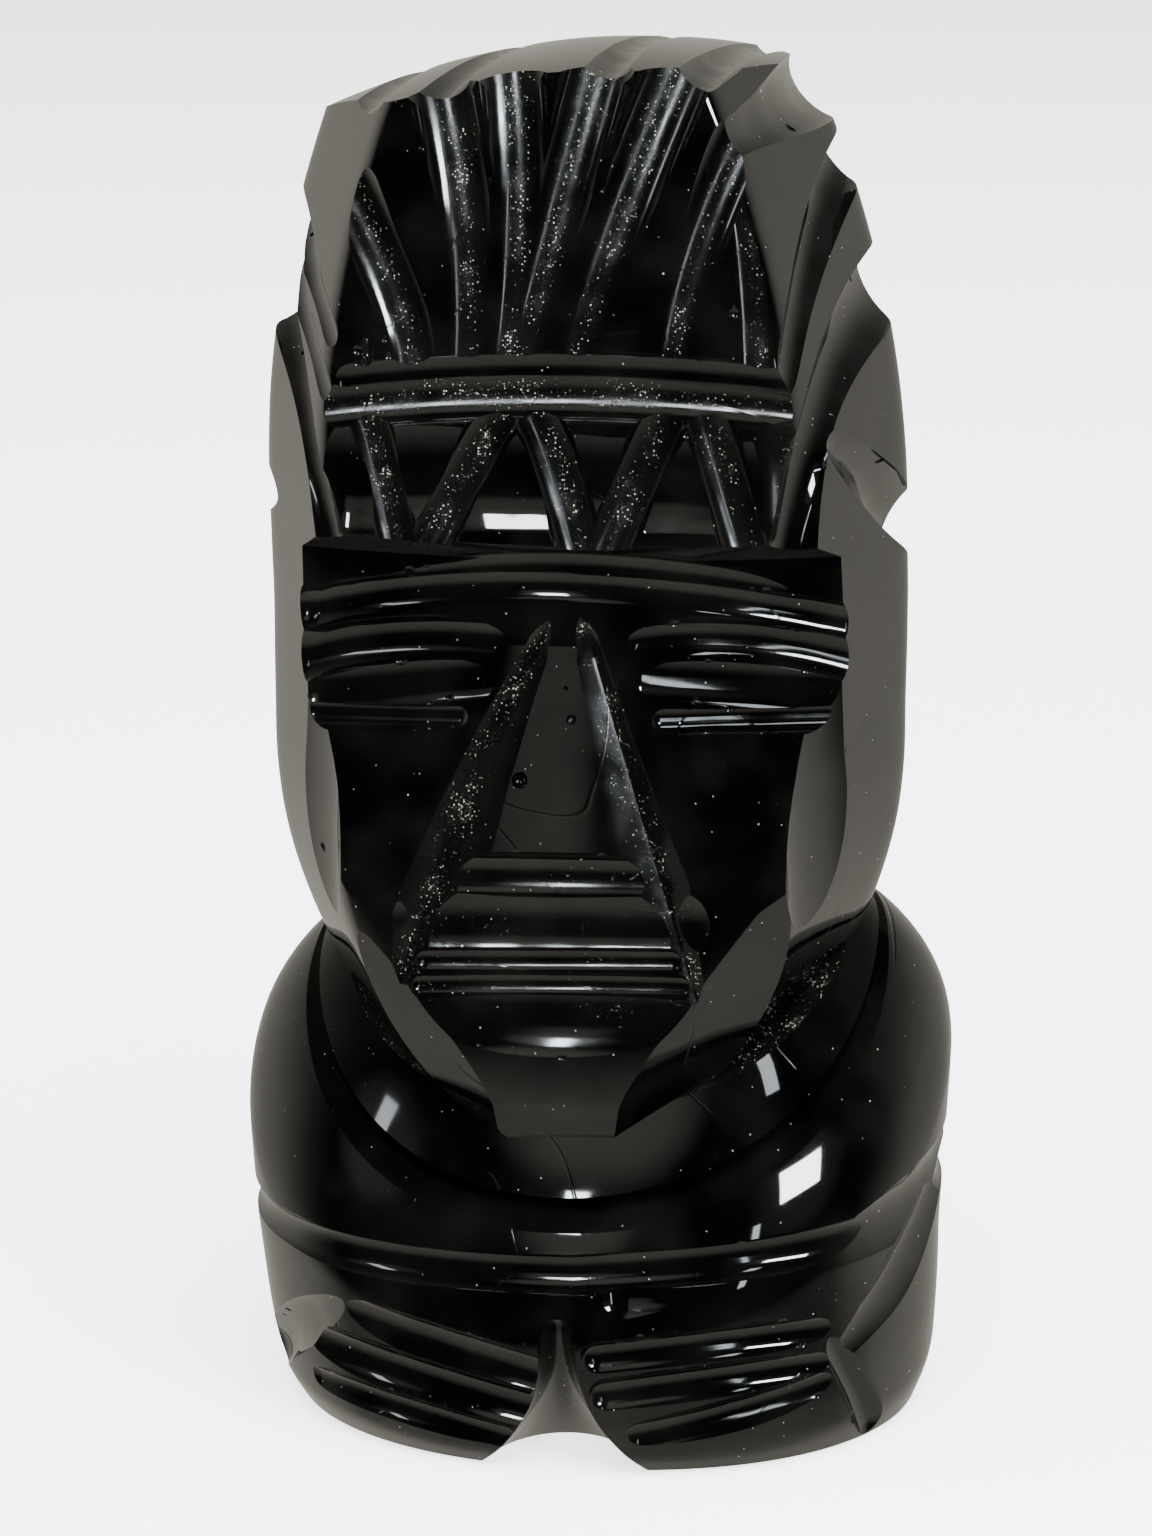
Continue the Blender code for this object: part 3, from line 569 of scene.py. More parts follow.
@dataclass(frozen=True)
class TorsoBlank:
    """The rounded torso: a wall that tapers towards the base, then a shoulder dome that falls away in front.

    Attributes are lengths in metres, stations up the wall as (share of the wall, share of the plan), the
    power of the plan's superellipse, slopes, and how far the shoulder's wheel is held below the level.
    """

    half_width: float = 39 * MM
    half_depth: float = 33 * MM
    stations: tuple[tuple[float, float], ...] = (
        (0, 0.895), (0.12, 0.945), (0.33, 0.965), (0.6, 0.98), (1.0, 1.0))
    dome_from: float = 37 * MM
    dome_rise: float = 23 * MM
    roundness: float = 2.2
    lean: float = 1.0 * MM
    tilt: float = 0.045
    softness: float = 10 * MM
    dome_fall: float = 0.77
    wheel_tilt: float = math.radians(24)

    def fall(self, forward: np.ndarray) -> np.ndarray:
        """How far the shoulders drop: a soft ramp, none behind and one for one in front."""
        return (forward + np.hypot(forward, self.softness)) / 2 - self.softness / 2

    def scale(self, share: np.ndarray) -> np.ndarray:
        """Share of the full plan: the stations' straight pieces averaged over a short stretch of wall."""
        low, high = np.array(self.stations).T
        window = np.linspace(-0.05, 0.05, 5)
        wall = np.mean([np.interp(share + step, low, high) for step in window], axis=0)
        wall = np.where(share < 0.05, np.interp(share, low, high), wall)
        return np.where(share <= 1, wall, np.sqrt(np.maximum(0, 1 - (share - 1) ** 2)))

    def point(self, turn: np.ndarray, share: np.ndarray) -> np.ndarray:
        """Point on the torso.

        The plan is a superellipse. Share runs 0 to 1 up the wall and 1 to 2 over the dome.

        Args:
            turn: Angle from the front.
            share: Place up the wall and dome, of the same shape or one that broadcasts.

        Returns:
            Points in metres, with a last axis of three.
        """
        turn, share = np.broadcast_arrays(np.asarray(turn, float), np.asarray(share, float))
        scale = self.scale(share)
        across, ahead = np.sin(turn), np.cos(turn)
        total = (np.abs(across) / self.half_width) ** self.roundness
        total += (np.abs(ahead) / self.half_depth) ** self.roundness
        radius = scale * total ** (-1 / self.roundness)
        x, forward = radius * across, radius * ahead
        wall = np.minimum(share, 1)
        z = (self.dome_from - self.dome_fall * self.fall(forward)) * wall
        z = z + np.maximum(0, share - 1) * self.dome_rise + self.tilt * x * wall
        x = x + self.lean * (np.maximum(0, 1 - z / (20 * MM)) - 0.5)
        return np.stack([x, -forward, z], -1)

    def at(self, turn: np.ndarray, z: np.ndarray) -> np.ndarray:
        """Points on the torso at angles from the front and heights, found by halving."""
        turn, z = np.broadcast_arrays(np.asarray(turn, float), np.asarray(z, float))
        near_top = np.full(turn.shape, 1.9)
        share = halve(np.zeros(turn.shape), near_top, lambda share: self.point(turn, share)[..., 2] < z)
        return self.point(turn, share)

    def on(self, degrees: float, z: float) -> Placed:
        """Place on the torso at degrees round from the front and a height in mm, and the way it faces."""
        place = self.at(np.array(math.radians(degrees)), np.array(z * MM))
        squash = (self.half_width / self.half_depth) ** 2
        return place, unit(np.array([place[0], place[1] * squash, 0.0]))

    def on_shoulder(self, degrees: float, z: float) -> Placed:
        """The same for the shoulder, whose wheel is held below the level."""
        place, outward = self.on(degrees, z)
        return place, outward * math.cos(self.wheel_tilt) - np.array([0, 0, math.sin(self.wheel_tilt)])

    def skin(self) -> Skin:
        """The torso's surface, with a slight ripple round it.

        Returns:
            The closed blank, whose underside is ground flat and left frosted.
        """
        foot, wall, dome = np.linspace(0, 0.16, 9), np.linspace(0.2, 1, 34), np.linspace(1.02, 1.7, 30)
        shares = np.concatenate([foot, wall, dome])
        turns = ring_of(168)
        points = self.point(turns[None, :], shares[:, None])
        ripple = 0.0009 * (wave(21, turns[None, :] * MM_A_RADIAN + shares[:, None] * 12, 19) - 1)
        ripple = ripple * np.minimum(1, shares[:, None] * 6)
        points[..., :2] *= (1 + ripple)[..., None]
        return Skin("torso", points, cutter=False, cap_frost=Polish.DUSTY.value)


@dataclass(frozen=True)
class CollarSlot:
    """The slot under the jaw: its floor runs out to the collar line and its inner wall is the neck.

    Attributes are lengths in metres, but for the slope of the floor: where the neck's middle stands, the
    neck's half width and half depth and how far back it stands, how far the slot runs out past the torso,
    the height of its floor at the middle, the floor's fall, and the height of its mouth.
    """

    shift: float
    neck_width: float = 29 * MM
    neck_depth: float = 22.5 * MM
    neck_back: float = 2.5 * MM
    run_out: float = 15 * MM
    height: float = 50.3 * MM
    fall: float = 0.915
    open: float = 5.5 * MM

    def floor(self, torso: TorsoBlank, x: np.ndarray, forward: np.ndarray) -> np.ndarray:
        """Height of the slot's floor at places in plan."""
        return self.height + torso.tilt * x - self.fall * torso.fall(forward)

    def skin(self, torso: TorsoBlank) -> Skin:
        """The cutter: a ring whose section has a sloping floor, a mouth outside and a neck inside.

        The roof rises slowly under the jaw and then steeply, so it opens right through the dome.

        Args:
            torso: The torso it is cut into, for its soft fall and tilt.

        Returns:
            The closed ring, with creases at the corners of its section.
        """
        turns = ring_of(144)[:, None]
        across, ahead = np.sin(turns), np.cos(turns)

        def plan(width: float, depth: float, roundness: float, back: float) -> tuple[np.ndarray, np.ndarray]:
            """A superellipse outline as x and forward distance, moved back."""
            total = (np.abs(across) / width) ** roundness + (np.abs(ahead) / depth) ** roundness
            radius = total ** (-1 / roundness)
            return radius * across, radius * ahead - back

        neck = plan(self.neck_width, self.neck_depth, 1.6, self.neck_back)
        outside = plan(torso.half_width + self.run_out, torso.half_depth + self.run_out, 2, 0)
        steps = 24
        out = np.arange(steps)[None, :] / steps
        share = np.concatenate([out, 1 - out], axis=1)
        x = neck[0] * (1 - share) + outside[0] * share
        forward = neck[1] * (1 - share) + outside[1] * share
        roof = np.interp(1 - out, [0, 0.35, 1], [0.3 * MM, 0.4 * self.open, self.open + self.run_out])
        lift = np.concatenate([np.zeros((1, steps)), roof], axis=1)
        points = np.stack([x + self.shift, -forward, self.floor(torso, x, forward) + lift], -1)
        return Skin("collar slot", points, frost=0.12, creases=(0, steps), looped=True)

    def edge(self, torso: TorsoBlank, turns: np.ndarray) -> np.ndarray:
        """Where the slot's floor comes out of the shoulder dome, at angles from the front, by halving.

        Args:
            torso: The torso it is cut into.
            turns: Angles from the front.

        Returns:
            Points on the dome.
        """
        def under(share: np.ndarray) -> np.ndarray:
            """Whether the dome is still below the floor at shares up it."""
            point = torso.point(turns, share)
            return point[..., 2] < self.floor(torso, point[..., 0] - self.shift, -point[..., 1])

        return torso.point(turns, halve(np.ones(turns.shape), np.full(turns.shape, 1.7), under))


@dataclass(frozen=True)
class CollarLine:
    """A fine groove scored along the collar."""

    wheel: float = 1.1 * MM
    depth: float = 0.28 * MM
    leaves: float = 0.9 * MM

    def skin(self, torso: TorsoBlank, slot: CollarSlot) -> Skin:
        """The cutter: a small wheel's circle carried round just outside the collar's edge.

        Args:
            torso: The torso it is cut into.
            slot: The collar slot whose edge it follows.

        Returns:
            The closed ring.
        """
        edge = slot.edge(torso, ring_of(240))
        outward = unit(edge * np.array([1.0, 1.0, 0.0]))
        out = unit(outward + np.array([0, 0, 1.2]))
        centre = edge + outward * self.leaves + out * (self.wheel - self.depth - 0.4 * self.leaves)
        tangent = unit(np.roll(edge, -1, 0) - np.roll(edge, 1, 0))
        around = circles(-out, np.cross(out, tangent), ring_of(18))
        return Skin("collar line", centre[:, None] + self.wheel * around, Polish.FINE.value, looped=True)


@dataclass(frozen=True)
class WaistGroove:
    """A shallow groove round the torso under the shoulders, rising to the right as the arm does."""

    wheel: float = 2.8 * MM

    def skin(self, torso: TorsoBlank) -> Skin:
        """The cutter: a wheel's circle carried round the torso.

        Args:
            torso: The torso it is cut into.

        Returns:
            The closed ring.
        """
        turns = ring_of(160)
        depth = (0.8 + 0.2 * np.cos(turns) + 0.06 * wave(31, turns * MM_A_RADIAN, 14)) * MM
        height = (23.2 + 1.6 * np.sin(turns) + np.abs(np.sin(turns))) * MM
        centre = torso.at(turns, height)
        outward = unit(centre * np.array([1.0, 1.0, 0.0]))
        centre = centre + outward * (self.wheel - depth)[:, None]
        angles = Flute.angles()
        around = circles(-outward, np.array([[0, 0, 1.0]]), angles)
        lay = Flute.lay(turns * MM_A_RADIAN, angles, self.wheel, depth)
        points = centre[:, None] + self.wheel * around
        return Skin("waist groove", points, Polish.FINE.value, lay, looped=True)


@dataclass(frozen=True)
class Crown:
    """Everything above the domed crown, which bends more across than from front to back."""

    across: float = 75 * MM
    along: float = 220 * MM
    middle: float = 3 * MM
    reach: float = 50 * MM

    def on(self, height: float, x: float, forward: float) -> Placed:
        """Place on the crown at x and a forward distance in mm, and the way it faces: straight up."""
        x, forward = x * MM, forward * MM
        z = height - (x - self.middle) ** 2 / (2 * self.across) - forward**2 / (2 * self.along)
        return np.array([x, -forward, z]), np.array([0.0, 0.0, 1.0])

    def skin(self, height: float) -> Skin:
        """The cutter: a dish whose height falls by x squared and y squared over twice its two radii.

        Args:
            height: Top of the stone.

        Returns:
            The closed cutter.
        """
        shares = np.concatenate([np.linspace(0.01, 1, 40), [1.0]])[:, None]
        turns = ring_of(96)[None, :]
        x, y = self.reach * shares * np.sin(turns), self.reach * shares * np.cos(turns)
        z = height - x**2 / (2 * self.across) - y**2 / (2 * self.along)
        z = z - 0.05 * MM * (1 + wave(41, x / MM + 0.4 * y / MM, 15))
        z[-1] = height + 20 * MM
        return Skin("crown", np.stack([x + self.middle, y, z], -1), frost=0.3)


@dataclass(frozen=True)
class Notch:
    """The arch between the hands: a horn that opens towards the base.

    Attributes are in mm: the place of its tip as (x, forward, height), then its half width and its
    depth at the tip and at the base.
    """

    tip: Station = (-1.9, 34.0, 16.2)
    base: Station = (-1.4, 34.0, -1.0)
    half_width: tuple[float, float] = (2.0, 10.9)
    depth: tuple[float, float] = (4.6, 15.0)

    def skin(self) -> Skin:
        """The cutter: an upright half-ellipse at each height, closed at the tip by a quarter circle.

        The half width grows with the cube of the way down and the depth with its square.

        Returns:
            The closed cutter.
        """
        down = np.concatenate([np.zeros(9), np.linspace(0.02, 1, 44)])[:, None]
        start, end = (np.array([x, -forward, z]) for x, forward, z in (self.tip, self.base))
        centre = start + (end - start) * down
        cap = np.cos(np.linspace(-0.995, 0, 9) * math.pi / 2)
        share = np.concatenate([cap, np.ones(44)])[:, None]
        width = share * (self.half_width[0] + (self.half_width[1] - self.half_width[0]) * down**2.6)
        depth = share * (self.depth[0] + (self.depth[1] - self.depth[0]) * down**1.6)
        turns = ring_of(72)[None, :]
        x = centre[:, :1] + width * np.sin(turns) * (1 + 0.015 * wave(51, down * 16 + turns, 7))
        y = centre[:, 1:2] + depth * np.cos(turns)
        z = centre[:, 2:] + 0 * turns
        z[:9] += (self.half_width[0] * np.sqrt(1 - cap**2))[:, None]
        turn = (turns + np.pi) % (2 * np.pi) - np.pi
        lay = np.stack(np.broadcast_arrays(centre[:, 2:], turn * self.half_width[0], turn), -1)
        return Skin("notch", np.stack([x, y, z], -1) * MM, Polish.HAZY.value, lay)


@dataclass(frozen=True)
class Flat:
    """A flat ground on a lap: everything on the far side of a plane.

    Attributes:
        name: Name of its mesh.
        place: A place on the plane, in metres.
        facing: The way the flat faces, of length one.
        reach: Half the size of the lap, in metres.
    """

    name: str
    place: np.ndarray
    facing: np.ndarray
    reach: float = 30 * MM

    def skin(self) -> Skin:
        """The cutter: a slab whose near side is the plane, with a ripple of a hundredth of a millimetre.

        Returns:
            The closed slab, with creases along its edges.
        """
        across = unit(np.cross(self.facing, [0.0, 0.0, 1.0]))
        up = np.cross(across, self.facing)
        steps = np.linspace(-1, 1, 41) * self.reach
        ripple = 0.02 * MM * wave(61, steps[:, None] / MM + 0.5 * steps[None, :] / MM, 13)
        near = (self.place + steps[:, None, None] * across + steps[None, :, None] * up
                + ripple[..., None] * self.facing)
        far = near[:, [-1, 0]] + self.facing * 20 * MM
        last = len(steps) - 1
        return Skin(self.name, np.concatenate([near, far], axis=1), creases=(0, last, last + 1, last + 2))


@dataclass(frozen=True)
class Flute:
    """The path of one grinding wheel.

    Attributes:
        name: Name of its mesh.
        wheel: Wheel radius in metres.
        centres: The wheel's centre at three stations, shape (3, 3).
        outward: Which way the stone's surface faces there, shape (3, 3).
        depths: How deep it cuts there, in metres.
        polish: How well it was polished.
        edge: Shape of the wheel's edge.
        seed: Picks its ripple and chips.
    """

    name: str
    wheel: float
    centres: np.ndarray
    outward: np.ndarray
    depths: np.ndarray
    polish: Polish
    edge: Edge
    seed: int

    @staticmethod
    def angles() -> np.ndarray:
        """Angles round a wheel's circle from the valley, close together where the stone is cut."""
        return np.concatenate([np.linspace(-100, 100, 41), [130, 160, 200, 230]]) * math.pi / 180

    @staticmethod
    def lay(along: np.ndarray, angles: np.ndarray, wheel: float, depth: np.ndarray) -> np.ndarray:
        """The lay of a cut: along it in mm, across from its valley in mm, and across as a share.

        The share is the angle over the rim's, whose cosine is one less the depth over the wheel's radius.

        Args:
            along: Distance in mm of each row.
            angles: Angle of each column from the valley.
            wheel: Radius of the wheel.
            depth: Depth of the cut at each row.

        Returns:
            Numbers of shape (rows, columns, 3).
        """
        rim = np.arccos(np.clip(1 - depth / wheel, 0.2, 0.95))[:, None]
        angles = angles[None, :]
        return np.stack(np.broadcast_arrays(along[:, None], angles * wheel / MM, angles / rim), -1)

    def path(self, t: np.ndarray) -> np.ndarray:
        """The centre at t from 0 to 1, on the parabola through the three stations."""
        first, middle, last = self.centres
        t = t[..., None]
        return first * (1 - t) * (1 - 2 * t) + middle * 4 * t * (1 - t) + last * t * (2 * t - 1)

    def frame(self, t: np.ndarray) -> tuple[np.ndarray, np.ndarray, np.ndarray]:
        """Tangent, direction into the stone and sideways direction at t, each a unit vector."""
        step = 1e-3
        tangent = unit(self.path(t + step) - self.path(t - step))
        share = np.clip(t, 0, 1)[..., None]
        first, middle, last = self.outward
        into = -(first * (1 - share) + last * share + middle * share * (1 - share))
        into = unit(into - tangent * (into * tangent).sum(-1, keepdims=True))
        return tangent, into, np.cross(tangent, into)

    def skin(self) -> Skin:
        """The cutter: the wheel's circle carried along its path, closed by two half balls.

        The radius past each end is the square root of one minus the overshoot squared. A ripple of
        a few hundredths of a millimetre is added to the depth, as a hand-held stone gives.

        Returns:
            The closed cutter.
        """
        end = np.sin(np.linspace(0.04, 1, 9)[:-1] * math.pi / 2)
        length = float(np.linalg.norm(np.diff(self.path(np.linspace(0, 1, 20)), axis=0), axis=1).sum())
        steps = int(np.clip(length / (0.9 * MM), 14, 60))
        t = np.concatenate([np.zeros(8), np.linspace(0, 1, steps), np.ones(8)])
        over = np.concatenate([-end[::-1], np.zeros(steps), end])
        share = np.sqrt(1 - over**2)
        tangent, into, side = self.frame(t)
        along = t * length / MM
        centre = self.path(t) + tangent * (over * self.wheel)[:, None]
        centre = centre + into * (0.05 * MM * wave(self.seed, along, 9))[:, None]
        angles = self.angles()
        reach = self.wheel * share[:, None] * self.edge.reach(angles)[None, :]
        points = centre[:, None] + circles(into, side, angles) * reach[..., None]
        lay = self.lay(along, angles, self.wheel, self.depth_at(t))
        creases = () if self.edge is Edge.ROUND else (int(np.argmin(np.abs(angles))),)
        return Skin(self.name, points, self.polish.value, lay, creases)

    def depth_at(self, t: np.ndarray) -> np.ndarray:
        """Depth of the cut at places along the path."""
        return np.interp(t, [0, 0.5, 1], self.depths)

    def rim(self, t: np.ndarray, sign: np.ndarray) -> tuple[np.ndarray, np.ndarray]:
        """Places on the flute's rims and the way out of the stone there.

        The rim is where the wheel's circle meets the stone's face: its cosine from the valley is one
        less the cut's depth over the wheel's radius.

        Args:
            t: Places along the path.
            sign: Which of the two rims, -1 or 1.

        Returns:
            The points, and unit vectors that lean from the stone's face a little to the open side.
        """
        _, into, side = self.frame(t)
        cosine = np.clip(1 - self.depth_at(t) / self.wheel, -1, 1)[:, None]
        spread = np.sqrt(1 - cosine**2) * sign[:, None]
        return self.path(t) + self.wheel * (into * cosine + side * spread), unit(-into - side * spread * 0.5)


@dataclass(frozen=True)
class Chips:
    """Small shell-shaped chips along the rims of the flutes.

    Attributes:
        per_flute: Chips on each flute.
        reach: Smallest and largest radius of the ball that a chip is cut with, in mm.
        depth: How deep it cuts, as a share of that radius.
    """

    per_flute: int = 4
    reach: tuple[float, float] = (0.35, 1.0)
    depth: float = 0.3

    def skins(self, flutes: Sequence[Flute]) -> list[Skin]:
        """Cutters for the chips, placed by a seeded draw.

        Args:
            flutes: The flutes whose rims they are on.

        Returns:
            One closed cutter a chip.
        """
        draw = np.random.default_rng(7)
        made = []
        for flute in flutes:
            t, sign = draw.uniform(0.03, 0.97, self.per_flute), draw.choice([-1, 1], self.per_flute)
            radius = draw.uniform(*self.reach, self.per_flute) ** 1.5 * MM
            places, out = flute.rim(t, sign)
            centres = places + out * (radius * (1 - self.depth))[:, None]
            made += [self.ball(f"chip {flute.name} {k}", centres[k], radius[k], 300 + len(made) + k)
                     for k in range(self.per_flute)]
        return made

    @staticmethod
    def ball(name: str, centre: np.ndarray, radius: float, seed: int) -> Skin:
        """A slightly uneven ball: latitude and longitude circles whose radius ripples.

        Args:
            name: Name of its mesh.
            centre: Its middle.
            radius: Its radius in metres.
            seed: Picks the ripple.

        Returns:
            The closed cutter.
        """
        down = np.linspace(0.12, math.pi - 0.12, 9)[:, None]
        turn = ring_of(14)[None, :]
        ripple = 1 + 0.12 * wave(seed, turn * 2 + down * 3, 5)
        ball = np.stack([np.sin(down) * np.cos(turn), np.sin(down) * np.sin(turn),
                         np.cos(down) + 0 * turn], -1) * (radius * ripple)[..., None]
        return Skin(name, centre + ball, Polish.HAZY.value, np.full(ball.shape, 0.5))


@dataclass(frozen=True)
class Group:
    """Flutes of one kind.

    Attributes:
        name: Their name, which each one's number follows.
        rows: Their table.
        place: Finds a station on the blank, and the way the blank faces there, from its first two numbers.
        polish: How well they were polished.
        edge: Shape of the wheel's edge.
    """

    name: str
    rows: Sequence[FluteRow]
    place: Place
    polish: Polish
    edge: Edge = Edge.ROUND


class Bust:
    """The carved stone.

    Attributes:
        least_agreement: Smallest dot product of a corner's carried normal and its triangle's.
    """

    least_agreement = 0.6

    def __init__(self) -> None:
        """Sets up the blanks and the list of cutters."""
        self.head = HeadBlank()
        self.torso = TorsoBlank()
        self.face = FaceCut()
        self.crown = Crown()
        self.to_middle = np.array([0.5, 0.0, 0.0]) * MM

    def on_face(self, x: float, z: float) -> Placed:
        """Place on the cut face at x and a height in mm, and the way it faces."""
        x, z = x * MM, z * MM
        return np.array([x, -self.face.forward(x, z, self.head), z]), np.array([0.0, -1.0, 0.0])

    def groups(self) -> list[Group]:
        """Every group of flutes."""
        head, torso = self.head, self.torso
        left, right = partial(head.on_side, -1), partial(head.on_side, 1)
        return [
            Group("feather", FEATHERS, head.on_front, Polish.DUSTY),
            Group("crown feather", CROWN, partial(self.crown.on, head.height), Polish.HAZY),
            Group("band", (BAND,), head.on_front, Polish.DUSTY),
            Group("band wall", (BAND_WALL, BAND_HOLLOW), head.on_front, Polish.GLASS),
            Group("zigzag", ZIGZAG, head.on_front, Polish.DUSTY),
            Group("mouth", MOUTH, head.on_front, Polish.HAZY),
            Group("brow", BROW, self.on_face, Polish.FINE),
            Group("eye", EYES, self.on_face, Polish.FINE),
            Group("nose", NOSE, self.on_face, Polish.DUSTY, Edge.VEE),
            Group("left feather", SIDE_LEFT, left, Polish.HAZY),
            Group("right feather", SIDE_RIGHT, right, Polish.HAZY),
            Group("left temple", TEMPLE_LEFT, left, Polish.GLASS),
            Group("right temple", TEMPLE_RIGHT, right, Polish.GLASS),
            Group("left back feather", SIDE_BACK, left, Polish.HAZY),
            Group("right back feather", SIDE_BACK, right, Polish.HAZY),
            Group("back feather", BACK, head.on_back, Polish.HAZY),
            Group("hand", HANDS, torso.on, Polish.FINE),
            Group("arm", ARMS, torso.on, Polish.FINE),
            Group("shoulder", SHOULDERS, torso.on_shoulder, Polish.GLASS),
        ]

    def flutes(self) -> list[Flute]:
        """Every flute, with its stations placed on the blanks."""
        made = []
        for group in self.groups():
            for number, (wheel, *stations) in enumerate(group.rows, 1):
                placed = [group.place(across, height) for across, height, _ in stations]
                outward = np.array([facing for _, facing in placed])
                depths = np.array([depth for _, _, depth in stations]) * MM
                centres = np.array([point for point, _ in placed]) + outward * (wheel * MM - depths)[:, None]
                made.append(Flute(f"{group.name} {number}", wheel * MM, centres, outward, depths,
                                  group.polish, group.edge, seed=100 + len(made)))
        return made

    def build(self) -> bpy.types.Object:
        """Joins the blanks, takes out every cut and keeps the result as one mesh.

        Returns:
            The stone's object, at the origin.
        """
        flutes = self.flutes()
        cutters = [flute.skin() for flute in flutes] + Chips().skins(flutes)
        slot = CollarSlot(shift=float(self.head.middle_at(0)) / 2)
        cutters += [self.face.skin(), slot.skin(self.torso), WaistGroove().skin(self.torso),
                    Notch().skin(), self.crown.skin(self.head.height), CollarLine().skin(self.torso, slot)]
        torso, head = self.solid(self.torso.skin()), self.solid(self.head.skin())
        laps, wheels = self.group("laps", self.laps()), self.group("wheels", cutters)
        bpy.context.scene.collection.objects.link(head)
        bpy.context.scene.collection.objects.link(torso)
        self.cut(head, laps, "DIFFERENCE")
        self.cut(torso, head, "UNION")
        self.cut(torso, wheels, "DIFFERENCE")
        depsgraph = bpy.context.evaluated_depsgraph_get()
        stone = bpy.data.meshes.new_from_object(torso.evaluated_get(depsgraph))
        for item in [torso, head, *laps.objects, *wheels.objects]:
            bpy.data.objects.remove(item)
        for tools in (laps, wheels):
            bpy.data.collections.remove(tools)
        stone.name = "carved_stone"
        self.finish(stone)
        made = bpy.data.objects.new("carved_stone", stone)
        bpy.context.scene.collection.objects.link(made)
        return made

    def finish(self, stone: bpy.types.Mesh) -> None:
        """Splits the faces into triangles and gives each corner the normal it was cut with.

        Points are held inside the solid's own box, which moves none by more than a few hundredths of
        a millimetre. A carried normal that leans too far from its own triangle, as on the slivers of
        the cutting, is replaced by the triangle's.

        Args:
            stone: The mesh that came out of the cutting.
        """
        work = bmesh.new()
        work.from_mesh(stone)
        bmesh.ops.triangulate(work, faces=work.faces)
        work.to_mesh(stone)
        work.free()
        low, high = (np.array(corner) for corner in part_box("bust"))
        points = np.empty(len(stone.vertices) * 3, np.float32)
        stone.vertices.foreach_get("co", points)
        points = np.clip(points.reshape(-1, 3), low, high).astype(np.float32)
        stone.vertices.foreach_set("co", points.ravel())
        stone.update()
        corners = np.empty(len(stone.loops), np.int32)
        stone.loops.foreach_get("vertex_index", corners)
        trios = points[corners.reshape(-1, 3)].astype(float)
        facing = np.repeat(unit(np.cross(trios[:, 1] - trios[:, 0], trios[:, 2] - trios[:, 0])), 3, axis=0)
        normals = np.empty(len(corners) * 3, np.float32)
        stone.attributes["lie"].data.foreach_get("vector", normals)
        normals = unit(normals.reshape(-1, 3).astype(float))
        strays = (normals * facing).sum(-1) < self.least_agreement
        LOG.info("%d of %d corners take their triangle's normal", strays.sum(), len(strays))
        normals[strays] = facing[strays]
        stone.attributes.remove(stone.attributes["lie"])
        stone.polygons.foreach_set("use_smooth", np.ones(len(stone.polygons), bool))
        stone.normals_split_custom_set(normals.tolist())

    @staticmethod
    def laps() -> list[Skin]:
        """The cutters of the jaw's flats."""
        turned = np.array([1.0, -1.0, 1.0])
        return [Flat(f"jaw flat {number}", place * turned * MM, unit(facing * turned)).skin()
                for number, (place, facing) in enumerate(JAW_FLATS, 1)]

    def group(self, name: str, skins: Sequence[Skin]) -> bpy.types.Collection:
        """A collection of the solids of some skins, in the scene."""
        made = bpy.data.collections.new(name)
        bpy.context.scene.collection.children.link(made)
        for skin in skins:
            made.objects.link(self.solid(skin))
        return made

    def solid(self, skin: Skin) -> bpy.types.Object:
        """An object of a skin, moved to the middle of the part's frame."""
        skin.points = skin.points + self.to_middle
        return bpy.data.objects.new(skin.name, skin.mesh())

    @staticmethod
    def cut(target: bpy.types.Object, operand: bpy.types.Object | bpy.types.Collection,
            operation: str) -> None:
        """Adds one Boolean of the manifold kind to the target."""
        item = target.modifiers.new(operation.lower(), "BOOLEAN")
        item.operation, item.solver = operation, "MANIFOLD"
        if isinstance(operand, bpy.types.Collection):
            item.operand_type, item.collection = "COLLECTION", operand
        else:
            item.object = operand


class Signal:
    """A shader socket that can be used in sums; an expression on it adds its Math nodes."""

    def __init__(self, graph: "Graph", socket: bpy.types.NodeSocket) -> None:
        """Wraps a socket of a graph."""
        self.graph, self.socket = graph, socket

    def __add__(self, other: "Signal | float") -> "Signal":
        """This value plus the other."""
        return self.graph.math("ADD", self, other)

    def __radd__(self, other: float) -> "Signal":
        """The other value plus this one."""
        return self.graph.math("ADD", other, self)

    def __sub__(self, other: "Signal | float") -> "Signal":
        """This value less the other."""
        return self.graph.math("SUBTRACT", self, other)

    def __rsub__(self, other: float) -> "Signal":
        """The other value less this one."""
        return self.graph.math("SUBTRACT", other, self)

    def __mul__(self, other: "Signal | float") -> "Signal":
        """This value times the other."""
        return self.graph.math("MULTIPLY", self, other)

    def __rmul__(self, other: float) -> "Signal":
        """The other value times this one."""
        return self.graph.math("MULTIPLY", other, self)

    def __abs__(self) -> "Signal":
        """This value without its sign."""
        return self.graph.math("ABSOLUTE", self)

    def above(self, other: "Signal | float") -> "Signal":
        """The larger of this value and the other."""
        return self.graph.math("MAXIMUM", self, other)

    def step(self, low: "Signal | float", high: "Signal | float") -> "Signal":
        """0 up to low, 1 from high on, and a smooth rise between; falls instead where high is below low."""
        settings = {"interpolation_type": "SMOOTHSTEP"}
        inputs = {"Value": self, "From Min": low, "From Max": high}
        return self.graph.node("ShaderNodeMapRange", settings, inputs)


